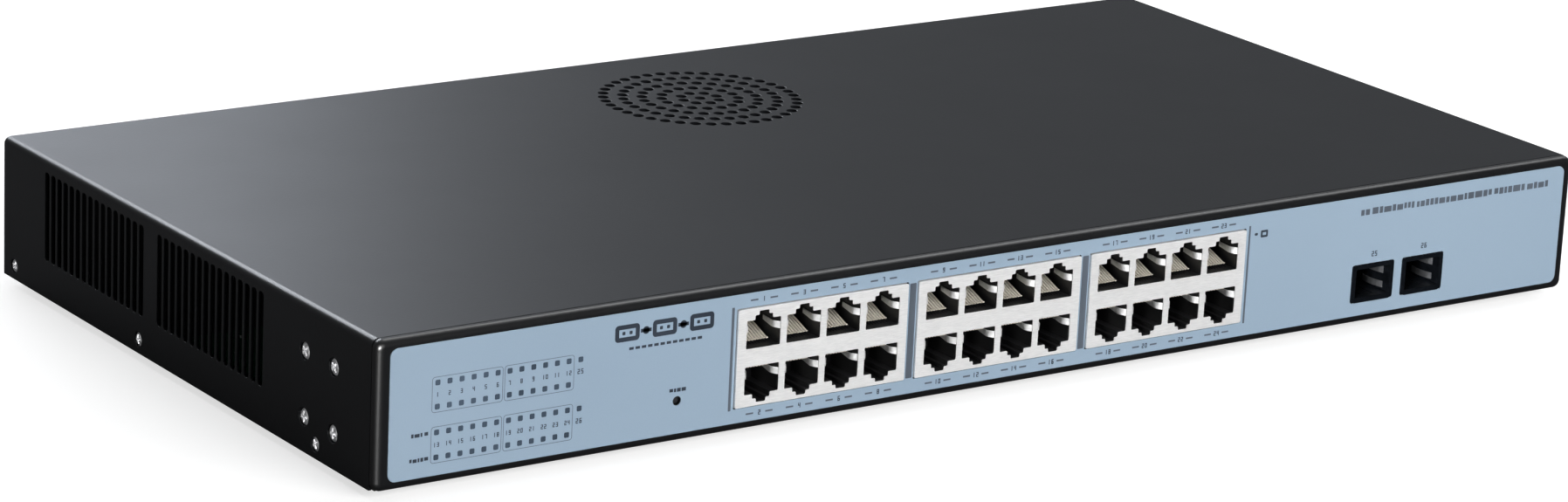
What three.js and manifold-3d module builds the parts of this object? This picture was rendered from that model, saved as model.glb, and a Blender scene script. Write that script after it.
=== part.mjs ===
// Rackmount network switch, 1U casing, 24 copper ports and 2 pluggable-module slots.
// Millimetres, +Z up. Origin: centre of the overall box in plan, at the bottom of the rubber feet.
// The front (port side) faces -Y, +X is to the right when looking at the front.
import * as THREE from 'three';
import { mergeVertices } from 'three/addons/utils/BufferGeometryUtils.js';
import Module from 'manifold-3d';

const wasm = await Module();
wasm.setup();
const { Manifold } = wasm;

// ---------------------------------------------------------------- driving dimensions
// Pairs are [from, to] ranges unless a comment says otherwise.
const BODY_W = 440;          // fits between 19 inch rack rails with ears
const BODY_D = 230;
const BODY_H = 44;           // 1U
const SHEET = 1.0;           // sheet steel thickness
const BEND_R = 2.2;          // outer bend radius of the sheet
const GAP = 0.3;             // fit gap between neighbours
const CONTACT = 0.05;        // clearance of parts seated on the casing's outside
const OVERLAP = 0.4;         // how far joined parts of the tray sink into each other
const RETURN_D = 3;          // depth of the front panel's turned edge
const SEAM = 0.4;            // seam between front panel edge and cover
const FOOT_H = 2.5;

const FRONT = -BODY_D / 2;
const REAR = BODY_D / 2;
const SIDE = BODY_W / 2;
const TRAY_X = SIDE - SHEET - GAP;        // half width of the tray inside the cover
const TRAY_TOP = BODY_H - SHEET - GAP;    // highest level under the cover sheet
const ORIGIN_Y = -1.69;      // puts the overall box, rocker included, on the origin in plan

const JACK_X = [-71.8, -8.2, 55.4];       // centres of the three 2 x 4 jack groups
const JACK_HALF_W = 29.9;
const JACK_Y = [-115.9, -91.5];
const JACK_Z = [7.3, 36.9];
const JACK_SKIN = 0.35;
const PORT_PITCH = 14;
const PORT_COLS = 4;
const PORT_ROW_Z = (JACK_Z[0] + JACK_Z[1]) / 2;   // plane of symmetry between the port rows

const CAGE_X = [138.3, 158.7];            // centres of the two module cages
const CAGE_HALF_W = 7.25;
const CAGE_FLOOR_Z = 8.3;
const CAGE_TOP_Z = 18.2;
const CAGE_BACK = -67;
const CAGE_SKIN = 0.35;
const FLANGE_HALF_W = 8.3;                // flange round the mouth of each cage
const FLANGE_Z = [7.3, 19.1];

const LED_X0 = -200.9;
const LED_PITCH = 3.87;
const LED_COLS = 12;
const LED_X = [LED_X0, LED_X0 + LED_PITCH * LED_COLS];
const LED_ROWS = [29.8, 22.8, 15.3, 8.0];

const RESET_X = -121.5;
const RESET_Z = 12.6;

const COVER_SCREW_Y = [-81.3, 25.5, 108]; // three stations
const COVER_SCREW_Z = 4.3;
const EAR_SCREW_Y = [-91, -74.6];         // two columns
const EAR_SCREW_Z = [10.4, 29.8];         // two rows

const BOARD_Z = [5.1, 6.7];
const ON_BOARD = BOARD_Z[1] + GAP;        // underside of everything that sits on a board
const MAIN_POSTS = [[-196, -84], [-30, -84], [100, -84], [-196, 8], [-100, 8], [168, 8]];
const PSU_POSTS = [[-55, 33], [75, 33], [-55, 99], [75, 99]];

const FAN_X = 2.5;                        // fan and cover vent share this centre
const FAN_Y = 63;
const FAN_H = 15;
const FAN_Z1 = TRAY_TOP;
const FAN_Z0 = FAN_Z1 - FAN_H;
const FAN_HOLE = 30;                      // fixing hole offset from the centre, in X and Y
const FAN_FIXINGS = [-1, 1].flatMap((sideX) => [-1, 1].map(
  (sideY) => [FAN_X + sideX * FAN_HOLE, FAN_Y + sideY * FAN_HOLE]));

const REAR_Z = BODY_H / 2;                // height of the inlet and rocker centres
const INLET_X = 165;
const ROCKER_X = 131;
const GROUND_X = 197;
const GROUND_Z = 12;

// ---------------------------------------------------------------- solids
const span = (middle, half) => [middle - half, middle + half];
const widen = ([from, to], by) => [from - by, to + by];
const join = (...parts) => Manifold.union(parts);
const cut = (body, ...tools) => Manifold.difference([body, ...tools]);

function solid(geometry) {
  geometry.deleteAttribute('normal');
  geometry.deleteAttribute('uv');
  const coords = geometry.attributes.position.array;
  for (let i = 0; i < coords.length; i++) {
    coords[i] = Math.round(coords[i] * 1000) / 1000;   // level faces stay exactly level
  }
  const merged = mergeVertices(geometry, 1e-4);
  return new Manifold(new wasm.Mesh({
    numProp: 3,
    vertProperties: Float32Array.from(merged.attributes.position.array),
    triVerts: Uint32Array.from(merged.index.array),
  }));
}

function box([x0, x1], [y0, y1], [z0, z1]) {
  const geometry = new THREE.BoxGeometry(x1 - x0, y1 - y0, z1 - z0);
  return solid(geometry.translate((x0 + x1) / 2, (y0 + y1) / 2, (z0 + z1) / 2));
}

const shapeOf = (outline) => new THREE.Shape(outline.map(([u, v]) => new THREE.Vector2(u, v)));

// Outline axes for each push direction: z -> (X, Y), y -> (X, Z), x -> (Y, Z).
// Extrusion depth runs towards -Y for y.
const [UNIT_X, UNIT_Y, UNIT_Z] = [[1, 0, 0], [0, 1, 0], [0, 0, 1]].map(
  (unit) => new THREE.Vector3(...unit));
const AXES = {
  x: new THREE.Matrix4().makeBasis(UNIT_Y, UNIT_Z, UNIT_X),
  y: new THREE.Matrix4().makeBasis(UNIT_X, UNIT_Z, UNIT_Y.clone().negate()),
  z: new THREE.Matrix4(),
};

// A flat outline pushed along an axis.
function prism(outline, axis, [from, to]) {
  const geometry = new THREE.ExtrudeGeometry(shapeOf(outline), {
    depth: to - from, bevelEnabled: false, curveSegments: 1,
  });
  geometry.applyMatrix4(AXES[axis]);
  const shift = { x: [from, 0, 0], y: [0, to, 0], z: [0, 0, from] }[axis];
  return solid(geometry.translate(...shift));
}

// Regular polygon; turn is the first corner's angle as a fraction of one side.
const polygon = ([u, v], radius, sides, turn = 0.5) => Array.from({ length: sides }, (_, i) => {
  const angle = 2 * Math.PI * (i + turn) / sides;
  return [u + radius * Math.cos(angle), v + radius * Math.sin(angle)];
});
const rod = (centre, radius, sides, axis, range, turn) =>
  prism(polygon(centre, radius, sides, turn), axis, range);

const arc = (u, v, radius, start, end, steps) => Array.from({ length: steps + 1 }, (_, i) => {
  const angle = (start + (end - start) * i / steps) * Math.PI / 180;
  return [u + radius * Math.cos(angle), v + radius * Math.sin(angle)];
});
const roundRect = ([u0, u1], [v0, v1], radius, steps) => [
  ...arc(u1 - radius, v1 - radius, radius, 0, 90, steps),
  ...arc(u0 + radius, v1 - radius, radius, 90, 180, steps),
  ...arc(u0 + radius, v0 + radius, radius, 180, 270, steps),
  ...arc(u1 - radius, v0 + radius, radius, 270, 360, steps),
];

// A turned profile [[radius, height], ...] about an axis through the given place.
function lathe(profile, segments, axis, place) {
  const points = profile.map(([radius, height]) => new THREE.Vector2(radius, height));
  const geometry = new THREE.LatheGeometry(points, segments);
  if (axis === 'z') geometry.rotateX(Math.PI / 2);
  if (axis === 'x') geometry.rotateZ(-Math.PI / 2);
  if (axis === '-x') geometry.rotateZ(Math.PI / 2);
  return solid(geometry.translate(...place));
}

// A six-sided cable through the given points.
function cable(points, radius, steps) {
  const extrudePath = new THREE.CatmullRomCurve3(points.map((p) => new THREE.Vector3(...p)));
  return solid(new THREE.ExtrudeGeometry(shapeOf(polygon([0, 0], radius, 6)), {
    steps, bevelEnabled: false, extrudePath,
  }));
}

// ---------------------------------------------------------------- materials and meshes
const PAINTS = {
  black_paint: { color: 0x1d1f22, roughness: 0.55, metalness: 0.3 },
  film: { color: 0x9bb2cb, roughness: 0.45, metalness: 0 },
  rubber: { color: 0x141414, roughness: 0.9, metalness: 0 },
  zinc: { color: 0xb9bcc0, roughness: 0.35, metalness: 1 },
  tin: { color: 0xd8dadc, roughness: 0.3, metalness: 1 },
  black_plastic: { color: 0x111214, roughness: 0.5, metalness: 0 },
  gold: { color: 0xc9a55a, roughness: 0.3, metalness: 1 },
  pcb: { color: 0x1e5a3a, roughness: 0.55, metalness: 0.1 },
  alu: { color: 0xaeb3b8, roughness: 0.4, metalness: 1 },
  chip: { color: 0x18191b, roughness: 0.6, metalness: 0 },
  clear: { color: 0xdfe6ea, roughness: 0.2, metalness: 0 },
  yellow: { color: 0xc9a92e, roughness: 0.6, metalness: 0 },
  copper: { color: 0xb3693a, roughness: 0.4, metalness: 0.8 },
  cable: { color: 0x2a2a2c, roughness: 0.6, metalness: 0 },
};

const group = new THREE.Group();
const casing = new THREE.Group();     // z = 0 at the underside of the sheet metal
casing.position.set(0, ORIGIN_Y, FOOT_H);
group.add(casing);

function add(name, body, paint) {
  const { vertProperties, triVerts } = body.getMesh();
  const geometry = new THREE.BufferGeometry();
  geometry.setAttribute('position', new THREE.BufferAttribute(Float32Array.from(vertProperties), 3));
  geometry.setIndex(new THREE.BufferAttribute(Uint32Array.from(triVerts), 1));
  geometry.computeVertexNormals();
  const mesh = new THREE.Mesh(geometry, new THREE.MeshStandardMaterial(PAINTS[paint]));
  mesh.name = name;
  casing.add(mesh);
}

// ---------------------------------------------------------------- shared openings
// Jack, cage and reset openings, cut alike through the front wall and the film.
function frontOpenings(jackMargin, cageMargin) {
  const through = span(FRONT, 2);
  return [
    ...JACK_X.map((x) => box(span(x, JACK_HALF_W + jackMargin), through, widen(JACK_Z, jackMargin))),
    ...CAGE_X.map((x) => box(span(x, FLANGE_HALF_W + cageMargin), through, widen(FLANGE_Z, cageMargin))),
    rod([RESET_X, RESET_Z], 1.4, 12, 'y', through),
  ];
}

// An X range given for the right side, mirrored when side is -1.
const onSide = (side, [inner, outer]) => (side > 0 ? [inner, outer] : [-outer, -inner]);
const SIDE_CUT_X = [SIDE - 4, SIDE + 1];  // runs through both the tray lip and the cover side
const EAR_SCREWS = EAR_SCREW_Y.flatMap((y) => EAR_SCREW_Z.map((z) => [y, z]));

const sideScrewHoles = (coverRadius, earRadius, sides) => [-1, 1].flatMap((side) => {
  const through = onSide(side, SIDE_CUT_X);
  return [
    ...COVER_SCREW_Y.map((y) => rod([y, COVER_SCREW_Z], coverRadius, sides, 'x', through)),
    ...EAR_SCREWS.map((centre) => rod(centre, earRadius, sides, 'x', through)),
  ];
});

// ---------------------------------------------------------------- chassis tray
// Block with its front edges rounded by the sheet's bend.
function bentBlock(inset, front, back) {
  const bend = BEND_R - inset;
  const outline = roundRect(span(0, SIDE - inset), [inset, BODY_H - inset], bend + 0.5, 3);
  const geometry = new THREE.ExtrudeGeometry(shapeOf(outline), {
    depth: back - front - 2 * bend,
    bevelEnabled: true,
    bevelThickness: bend,
    bevelSize: bend,
    bevelOffset: -bend,
    bevelSegments: 3,
    curveSegments: 1,
  });
  geometry.applyMatrix4(AXES.y);
  return solid(geometry.translate(0, back - bend, 0));
}

// Floor, front wall, rear wall, side lips and board posts.
function chassisTray() {
  const frontWall = cut(
    bentBlock(0, FRONT, FRONT + 16),
    bentBlock(SHEET, FRONT + SHEET, FRONT + 20),
    box(span(0, SIDE + 5), [FRONT + RETURN_D, FRONT + 40], [-5, BODY_H + 5]),
  );
  const chamfer = 1.5;                // top corners of the rear wall
  const rearOutline = [
    [-TRAY_X, 0], [TRAY_X, 0], [TRAY_X, TRAY_TOP - chamfer], [TRAY_X - chamfer, TRAY_TOP],
    [-TRAY_X + chamfer, TRAY_TOP], [-TRAY_X, TRAY_TOP - chamfer],
  ];
  const flangeDepth = 11;             // turned-in top flanges at the front and rear
  const flangeZ = [TRAY_TOP - SHEET, TRAY_TOP];
  const lipH = 9;
  const lipFront = FRONT + 3.6;
  const lipRear = REAR - SHEET - OVERLAP;
  const tabTop = 37;                  // each lip rises to a tab that takes the ear screws
  const lipOutline = [                // [y, z]
    [lipFront, 0], [lipRear, 0], [lipRear, lipH], [-66, lipH], [-68, lipH + 2], [-68, tabTop],
    [-102, tabTop], [-102, lipH + 2], [-104, lipH], [lipFront, lipH],
  ];
  const sheetMetal = join(
    frontWall,
    box(span(0, TRAY_X), [FRONT + RETURN_D - 0.5, REAR], [0, SHEET]),
    prism(rearOutline, 'y', [REAR - SHEET, REAR]),
    box(span(0, TRAY_X - 2), [REAR - flangeDepth, REAR - 0.5], flangeZ),
    box(span(0, SIDE - 6), [FRONT + SHEET - OVERLAP, FRONT + flangeDepth], flangeZ),
    ...[-1, 1].map((side) => prism(lipOutline, 'x', onSide(side, [TRAY_X - SHEET, TRAY_X]))),
    ...[...MAIN_POSTS, ...PSU_POSTS].map(
      (centre) => rod(centre, 3, 8, 'z', [SHEET - OVERLAP, BOARD_Z[0] - GAP])),
  );
  const rearCut = [REAR - 2, REAR + 1];
  return cut(
    sheetMetal,
    ...frontOpenings(0.5, 0.4),
    ...LED_ROWS.map((z) => box(widen(LED_X, 2), [FRONT - 1, FRONT + 2], span(z, 1.2))),
    box(span(INLET_X, 13.8), rearCut, span(REAR_Z, 10.3)),
    box(span(ROCKER_X, 6.8), rearCut, span(REAR_Z, 9.8)),
    rod([GROUND_X, GROUND_Z], 2.25, 10, 'y', rearCut),
    ...sideScrewHoles(1.6, 1.85, 8),
  );
}
add('chassis_tray', chassisTray(), 'black_paint');

// ---------------------------------------------------------------- top cover
const VENT_RINGS = 5;
const VENT_RING_STEP = 6.3;
const VENT_HOLE_R = 1.85;
const VENT_SIDES = 6;
const SLOT_W = 2.9;
const SLOT_PITCH = 4.1;
const SLOT_COUNT = 16;
const SLOT_Z = [12, 40];
const SLOT_STARTS = [-50.5, 22.5];    // front ends of the two vent fields on each side

// One hole in the middle and rings of 8, 16, 24 ... holes, each turned to face the centre.
function ventHoles() {
  const through = [BODY_H - 3, BODY_H + 1];
  const holes = [rod([FAN_X, FAN_Y], VENT_HOLE_R, VENT_SIDES, 'z', through)];
  for (let k = 1; k <= VENT_RINGS; k++) {
    const count = 8 * k;
    const centres = polygon([FAN_X, FAN_Y], VENT_RING_STEP * k, count, 0);
    centres.forEach((centre, i) => {
      holes.push(rod(centre, VENT_HOLE_R, VENT_SIDES, 'z', through, VENT_SIDES * i / count));
    });
  }
  return holes;
}

function sideSlots() {
  const slots = [];
  for (const side of [-1, 1]) {
    for (const start of SLOT_STARTS) {
      for (let i = 0; i < SLOT_COUNT; i++) {
        const y = start + SLOT_PITCH * i;
        slots.push(box(onSide(side, SIDE_CUT_X), [y, y + SLOT_W], SLOT_Z));
      }
    }
  }
  return slots;
}

// Top sheet with both sides and the fan studs.
function topCover() {
  const bendX = SIDE - BEND_R;
  const bendZ = BODY_H - BEND_R;
  const innerR = BEND_R - SHEET;
  const outline = [
    [SIDE, 0],
    ...arc(bendX, bendZ, BEND_R, 0, 90, 4),
    ...arc(-bendX, bendZ, BEND_R, 90, 180, 4),
    [-SIDE, 0],
    [-SIDE + SHEET, 0],
    ...arc(-bendX, bendZ, innerR, 180, 90, 2),
    ...arc(bendX, bendZ, innerR, 90, 0, 2),
    [SIDE - SHEET, 0],
  ];
  const sheet = prism(outline, 'y', [FRONT + RETURN_D + SEAM, REAR]);
  return join(
    cut(sheet, ...sideScrewHoles(2.3, 2.75, 12), ...sideSlots(), ...ventHoles()),
    ...FAN_FIXINGS.map((centre) => rod(centre, 1.42, 8, 'z', [FAN_Z0 - 4, BODY_H - SHEET / 2])),
  );
}
add('top_cover', topCover(), 'black_paint');

// ---------------------------------------------------------------- printed front film
function frontFilm() {
  const thickness = 0.35;
  const outline = roundRect(span(0, 216.2), [2.7, 41.5], 2.5, 3);
  const back = FRONT - CONTACT;
  return cut(prism(outline, 'y', [back - thickness, back]), ...frontOpenings(GAP, GAP));
}
add('front_overlay', frontFilm(), 'film');

// ---------------------------------------------------------------- rubber feet
const FOOT_R = 6.5;
const FOOT_PROFILE = [[0, -FOOT_H], [FOOT_R - 1, -FOOT_H], [FOOT_R, -CONTACT], [0, -CONTACT]];
[[-195, -90], [195, -90], [-195, 90], [195, 90]].forEach(([x, y], i) => {
  add(`rubber_foot_${i + 1}`, lathe(FOOT_PROFILE, 16, 'z', [x, y, 0]), 'rubber');
});

// ---------------------------------------------------------------- screws
const COVER_SCREW = { shankR: 1.25, shankL: 4.5, headR: 2.1, headH: 1.0, segments: 8 };
const EAR_SCREW = { shankR: 1.5, shankL: 5.5, headR: 2.5, headH: 1.0, segments: 8 };
const GROUND_SCREW = { shankR: 1.9, shankL: 6, headR: 3.8, headH: 2.2, segments: 12 };

// The head runs from the seat along the axis; the shank runs the other way.
function screw({ shankR, shankL, headR, headH, segments }, axis, seat) {
  const profile = [[0, -shankL], [shankR, -shankL], [shankR, 0], [headR, 0], [headR, headH], [0, headH]];
  return lathe(profile, segments, axis, seat);
}

for (const [sign, side, axis] of [[-1, 'left', '-x'], [1, 'right', 'x']]) {
  const seatX = sign * (SIDE - SHEET - 0.1);
  COVER_SCREW_Y.forEach((y, i) => {
    add(`cover_screw_${side}_${i + 1}`, screw(COVER_SCREW, axis, [seatX, y, COVER_SCREW_Z]), 'zinc');
  });
  EAR_SCREWS.forEach(([y, z], i) => {
    add(`ear_screw_${side}_${i + 1}`, screw(EAR_SCREW, axis, [seatX, y, z]), 'zinc');
  });
}
add('ground_screw', screw(GROUND_SCREW, 'y', [GROUND_X, REAR + CONTACT, GROUND_Z]), 'zinc');

// ---------------------------------------------------------------- main board and its chips
const circuitBoard = (xs, ys, posts) => cut(
  box(xs, ys, BOARD_Z),
  ...posts.map((centre) => rod(centre, 1.7, 8, 'z', widen(BOARD_Z, 1))),
);
const chip = (x, y, half, height) => box(span(x, half), span(y, half), [ON_BOARD, ON_BOARD + height]);
const SWITCH_CHIP_H = 1.5;
add('main_board', circuitBoard([-208, 180], [-111, 14], MAIN_POSTS), 'pcb');
add('switch_chip', chip(-10, -40, 11.5, SWITCH_CHIP_H), 'chip');
add('phy_chip_1', chip(-72, -60, 7, 1.2), 'chip');
add('phy_chip_2', chip(58, -60, 7, 1.2), 'chip');

function chipHeatsink() {
  const finCount = 9;
  const finPitch = 5.3;
  const finThick = 1.6;
  const right = 12;
  const left = right - finPitch * (finCount - 1) - finThick;
  const bottom = ON_BOARD + SWITCH_CHIP_H + GAP;
  const web = bottom + 3;
  const top = bottom + 14;
  const outline = [[left, bottom], [right, bottom], [right, top]];
  for (let i = 0; i < finCount - 1; i++) {      // grooves, from right to left
    const x = right - finPitch * i;
    outline.push([x - finThick, top], [x - finThick, web], [x - finPitch, web], [x - finPitch, top]);
  }
  outline.push([left, top]);
  return prism(outline, 'y', [-62, -18]);
}
add('chip_heatsink', chipHeatsink(), 'alu');

// ---------------------------------------------------------------- copper jack groups
// Row is 1 for the top ports and -1 for the bottom ports, which are mirrored.
const portsOf = (jackX) => Array.from({ length: PORT_COLS }, (_, i) => i).flatMap((i) => {
  const x = jackX + (i - (PORT_COLS - 1) / 2) * PORT_PITCH;
  return [{ x, row: 1 }, { x, row: -1 }];
});
const rowZ = (z, row) => PORT_ROW_Z + row * (z - PORT_ROW_Z);

// Port opening: a rectangle with a two-step latch notch, above in the top row.
function portOutline({ x, row }, grow = 0) {
  const rightHalf = [               // [half width, z] of the top row
    [5.9, 24.8 - grow], [5.9, 33.3 + grow],
    [3.05, 33.3 + grow], [3.05, 34.7 + grow],
    [1.7, 34.7 + grow], [1.7, 35.9 + grow],
  ];
  const edge = (sign) => rightHalf.map(([half, z]) => [x + sign * (half + grow), rowZ(z, row)]);
  return [...edge(1), ...edge(-1).reverse()];
}

// Stamped shield, open underneath.
function jackShield(jackX) {
  const [front, back] = JACK_Y;
  return cut(
    box(span(jackX, JACK_HALF_W), JACK_Y, JACK_Z),
    box(span(jackX, JACK_HALF_W - JACK_SKIN), [front + JACK_SKIN, back - JACK_SKIN],
      [JACK_Z[0] - 1, JACK_Z[1] - JACK_SKIN]),
    ...portsOf(jackX).map((port) => prism(portOutline(port), 'y', span(front, 1))),
  );
}

// Moulded housing: each port cavity has a slot in its back wall for the contacts.
function jackHousing(jackX) {
  const inset = JACK_SKIN + GAP;
  const ports = portsOf(jackX);
  return cut(
    box(span(jackX, JACK_HALF_W - inset), [JACK_Y[0] + inset, -98.8],
      [JACK_Z[0] - 0.1, JACK_Z[1] - inset]),
    ...ports.map((port) => prism(portOutline(port, -0.1), 'y', [-120, -102])),
    ...ports.map(({ x, row }) => box(span(x, 4.9), [-102.5, -98], span(rowZ(29.3, row), 0.8))),
  );
}

// Upright carrier with eight spring combs reaching forward into the ports.
const SPRING_OUTLINE = [            // [y, z] of the top row
  [-98.0, 29.1], [-103, 29.1], [-112.4, 25.9], [-112.4, 26.3], [-103.1, 29.5], [-98.0, 29.5],
];
const jackContacts = (jackX) => join(
  box(span(jackX, 27.5), [-98.4, -97.2], [ON_BOARD + 0.3, 36]),
  ...portsOf(jackX).map(({ x, row }) =>
    prism(SPRING_OUTLINE.map(([y, z]) => [y, rowZ(z, row)]), 'x', span(x, 4.45))),
);

JACK_X.forEach((x, i) => {
  add(`jack_shield_${i + 1}`, jackShield(x), 'tin');
  add(`jack_housing_${i + 1}`, jackHousing(x), 'black_plastic');
  add(`jack_contacts_${i + 1}`, jackContacts(x), 'gold');
});

// ---------------------------------------------------------------- module cages and connectors
function moduleCage(x) {
  const mouth = FRONT - 0.6;
  const innerX = span(x, CAGE_HALF_W - CAGE_SKIN);
  const innerBack = CAGE_BACK - CAGE_SKIN;
  const below = ON_BOARD - 1;
  return cut(
    join(
      box(span(x, CAGE_HALF_W), [mouth, CAGE_BACK], [ON_BOARD, CAGE_TOP_Z]),
      box(span(x, FLANGE_HALF_W), [mouth, FRONT + 0.6], FLANGE_Z),
    ),
    // module space, space under its floor, and the opening in the floor at the back
    box(innerX, [FRONT - 3, innerBack], [CAGE_FLOOR_Z + CAGE_SKIN, CAGE_TOP_Z - CAGE_SKIN]),
    box(innerX, [FRONT + 3, innerBack], [below, CAGE_FLOOR_Z]),
    box(innerX, [-82, innerBack], [below, CAGE_FLOOR_Z + 1]),
  );
}

const moduleConnector = (x) => cut(
  box(span(x, 6), [-77, -69], [ON_BOARD, 14.5]),
  box(span(x, 5), [-78, -71.5], [11, 12.3]),
);

CAGE_X.forEach((x, i) => {
  add(`module_cage_${i + 1}`, moduleCage(x), 'zinc');
  add(`module_connector_${i + 1}`, moduleConnector(x), 'black_plastic');
});

// ---------------------------------------------------------------- indicator light guide
// Four clear ridges stand in the front wall's slots, right behind the film.
const lightGuide = join(
  box(widen(LED_X, 2.6), [FRONT + 3, FRONT + 9], [ON_BOARD, 31.6]),
  ...LED_ROWS.map((z) => box(widen(LED_X, 1.6), [FRONT + 0.25, FRONT + 4], span(z, 0.85))),
);
add('led_light_guide', lightGuide, 'clear');

// ---------------------------------------------------------------- reset switch and its button
const resetBody = cut(
  box(span(RESET_X, 3.2), [-110, -106], [ON_BOARD, 16]),
  rod([RESET_X, RESET_Z], 1.35, 12, 'y', [-111, -107.7]),
);
add('reset_switch_body', resetBody, 'black_plastic');
add('reset_button', rod([RESET_X, RESET_Z], 1.0, 12, 'y', [-114.7, -108.5]), 'chip');

// ---------------------------------------------------------------- power supply
add('psu_board', circuitBoard([-60, 80], [28, 104], PSU_POSTS), 'pcb');

const transformer = join(
  box([40, 66], [50, 74], [ON_BOARD + 3, ON_BOARD + 19]),
  box([42, 64], [46, 78], [ON_BOARD, ON_BOARD + 4]),
  box([44, 62], [47, 77], [ON_BOARD + 3.5, ON_BOARD + 18]),
);
add('psu_transformer', transformer, 'yellow');

const CAPACITOR_PROFILE = [
  [0, 0], [9, 0], [9, 2], [8.6, 2.6], [9, 3.2], [9, 18], [8.4, 18.6], [0, 18.6],
];
add('psu_capacitor', lathe(CAPACITOR_PROFILE, 18, 'z', [16, 84, ON_BOARD]), 'chip');

// Upright plate with three fins on its rear face; numbers are the fins' right faces.
const psuFins = [-1, -12, -23].flatMap((x) => [[x, 40], [x, 44], [x - 2, 44], [x - 2, 40]]);
const psuSinkOutline = [[-40, 38], [14, 38], [14, 40], ...psuFins, [-40, 40]];
add('psu_heatsink', prism(psuSinkOutline, 'z', [ON_BOARD, ON_BOARD + 16]), 'alu');

const CHOKE_PROFILE = [             // closed, so the choke is a ring
  [4, 0.6], [4.6, 0], [8.4, 0], [9, 0.6], [9, 7.4], [8.4, 8], [4.6, 8], [4, 7.4], [4, 0.6],
];
add('emi_choke', lathe(CHOKE_PROFILE, 14, 'z', [52, 92, ON_BOARD]), 'copper');

// ---------------------------------------------------------------- fan
const FAN_HALF = 35;
const FAN_BORE_R = 33;
const FAN_CENTRE = [FAN_X, FAN_Y];

function fanFrame() {
  const plateOutline = roundRect(span(FAN_X, FAN_HALF), span(FAN_Y, FAN_HALF), 4, 2);
  const through = [FAN_Z0 - 1, FAN_Z1 + 1];
  const duct = cut(
    join(
      prism(plateOutline, 'z', [FAN_Z0, FAN_Z0 + 3]),
      prism(plateOutline, 'z', [FAN_Z1 - 3, FAN_Z1]),
      rod(FAN_CENTRE, FAN_BORE_R + 1.6, 20, 'z', [FAN_Z0 + 1, FAN_Z1 - 1]),
    ),
    rod(FAN_CENTRE, FAN_BORE_R, 20, 'z', through),
    ...FAN_FIXINGS.map((centre) => rod(centre, 1.85, 8, 'z', through)),
  );
  const spokes = [0, 1, 2, 3].map((i) => solid(new THREE.BoxGeometry(24, 3.4, 2)
    .translate(22.4, 0, FAN_Z0 + 1)
    .rotateZ(Math.PI / 2 * i + 0.5)
    .translate(FAN_X, FAN_Y, 0)));
  return cut(
    join(
      duct,
      rod(FAN_CENTRE, 13.5, 16, 'z', [FAN_Z0, FAN_Z0 + 2]),
      ...spokes,
      rod(FAN_CENTRE, 3.6, 12, 'z', [FAN_Z0 + 1, FAN_Z0 + 9]),
    ),
    rod(FAN_CENTRE, 1.85, 12, 'z', [FAN_Z0 + 0.8, FAN_Z0 + 10]),   // shaft bearing
  );
}
add('fan_frame', fanFrame(), 'black_plastic');

// A flat plate twisted, widened towards its tip, bowed and swept.
function fanBlade(angle, middleZ) {
  const length = 18;
  const blade = new THREE.BoxGeometry(length, 11.5, 1.1, 2, 2, 1);
  const points = blade.attributes.position;
  for (let i = 0; i < points.count; i++) {
    const reach = points.getX(i) + length / 2;              // 0 at the root
    const pitch = (48 - 1.1 * reach) * Math.PI / 180;       // flattens towards the tip
    const chord = points.getY(i) * (1 + 0.035 * reach);
    const height = points.getZ(i) - 0.02 * chord * chord;   // bow across the chord
    const y = chord * Math.cos(pitch) - height * Math.sin(pitch);
    const z = chord * Math.sin(pitch) + height * Math.cos(pitch);
    points.setXYZ(i, reach + 13.9, y + 0.012 * reach * reach, z + middleZ);
  }
  return solid(blade.rotateZ(angle).translate(FAN_X, FAN_Y, 0));
}

// Cup, shaft and seven blades, trimmed to the bore and to the cup's lower rim.
function fanRotor() {
  const bladeCount = 7;
  const top = FAN_Z1 - 1.2;
  const low = FAN_Z0 + 2.5;
  const shaftEnd = FAN_Z0 + 1.4;
  const place = [FAN_X, FAN_Y, 0];
  const cupProfile = [
    [0, shaftEnd], [1.5, shaftEnd], [1.5, top - 1.5], [13.2, top - 1.5], [13.2, low],
    [14.8, low], [14.8, top - 0.8], [14, top], [0, top],
  ];
  const rotor = join(
    lathe(cupProfile, 20, 'z', place),
    ...Array.from({ length: bladeCount },
      (_, i) => fanBlade(2 * Math.PI * i / bladeCount, (top + low) / 2)),
  );
  const sweep = lathe([[0, low - 3], [31.9, low - 3], [31.9, top], [0, top]], 28, 'z', place);
  const belowCup = cut(
    box([-60, 60], [0, 130], [0, low]),
    lathe([[0, 0], [1.7, 0], [1.7, low + 1], [0, low + 1]], 12, 'z', place),   // spares the shaft
  );
  return cut(rotor.intersect(sweep), belowCup);
}
add('fan_rotor', fanRotor(), 'black_plastic');

FAN_FIXINGS.forEach((centre, i) => {
  const nut = cut(
    rod(centre, 3.17, 6, 'z', [FAN_Z0 - 2.7, FAN_Z0 - GAP]),
    rod(centre, 1.75, 8, 'z', [FAN_Z0 - 4, FAN_Z0 + 1]),
  );
  add(`fan_nut_${i + 1}`, nut, 'zinc');
});

// ---------------------------------------------------------------- mains inlet and rocker switch
// Rim of a rear panel part, and a flat terminal at its inner end.
const rearRim = (x, halfW, halfH, radius) => prism(
  roundRect(span(x, halfW), span(REAR_Z, halfH), radius, 2), 'y', [REAR + CONTACT, REAR + 2.2]);
const terminal = (x, z, ys) => box(span(x, 2.4), ys, span(z, 0.4));

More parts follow.
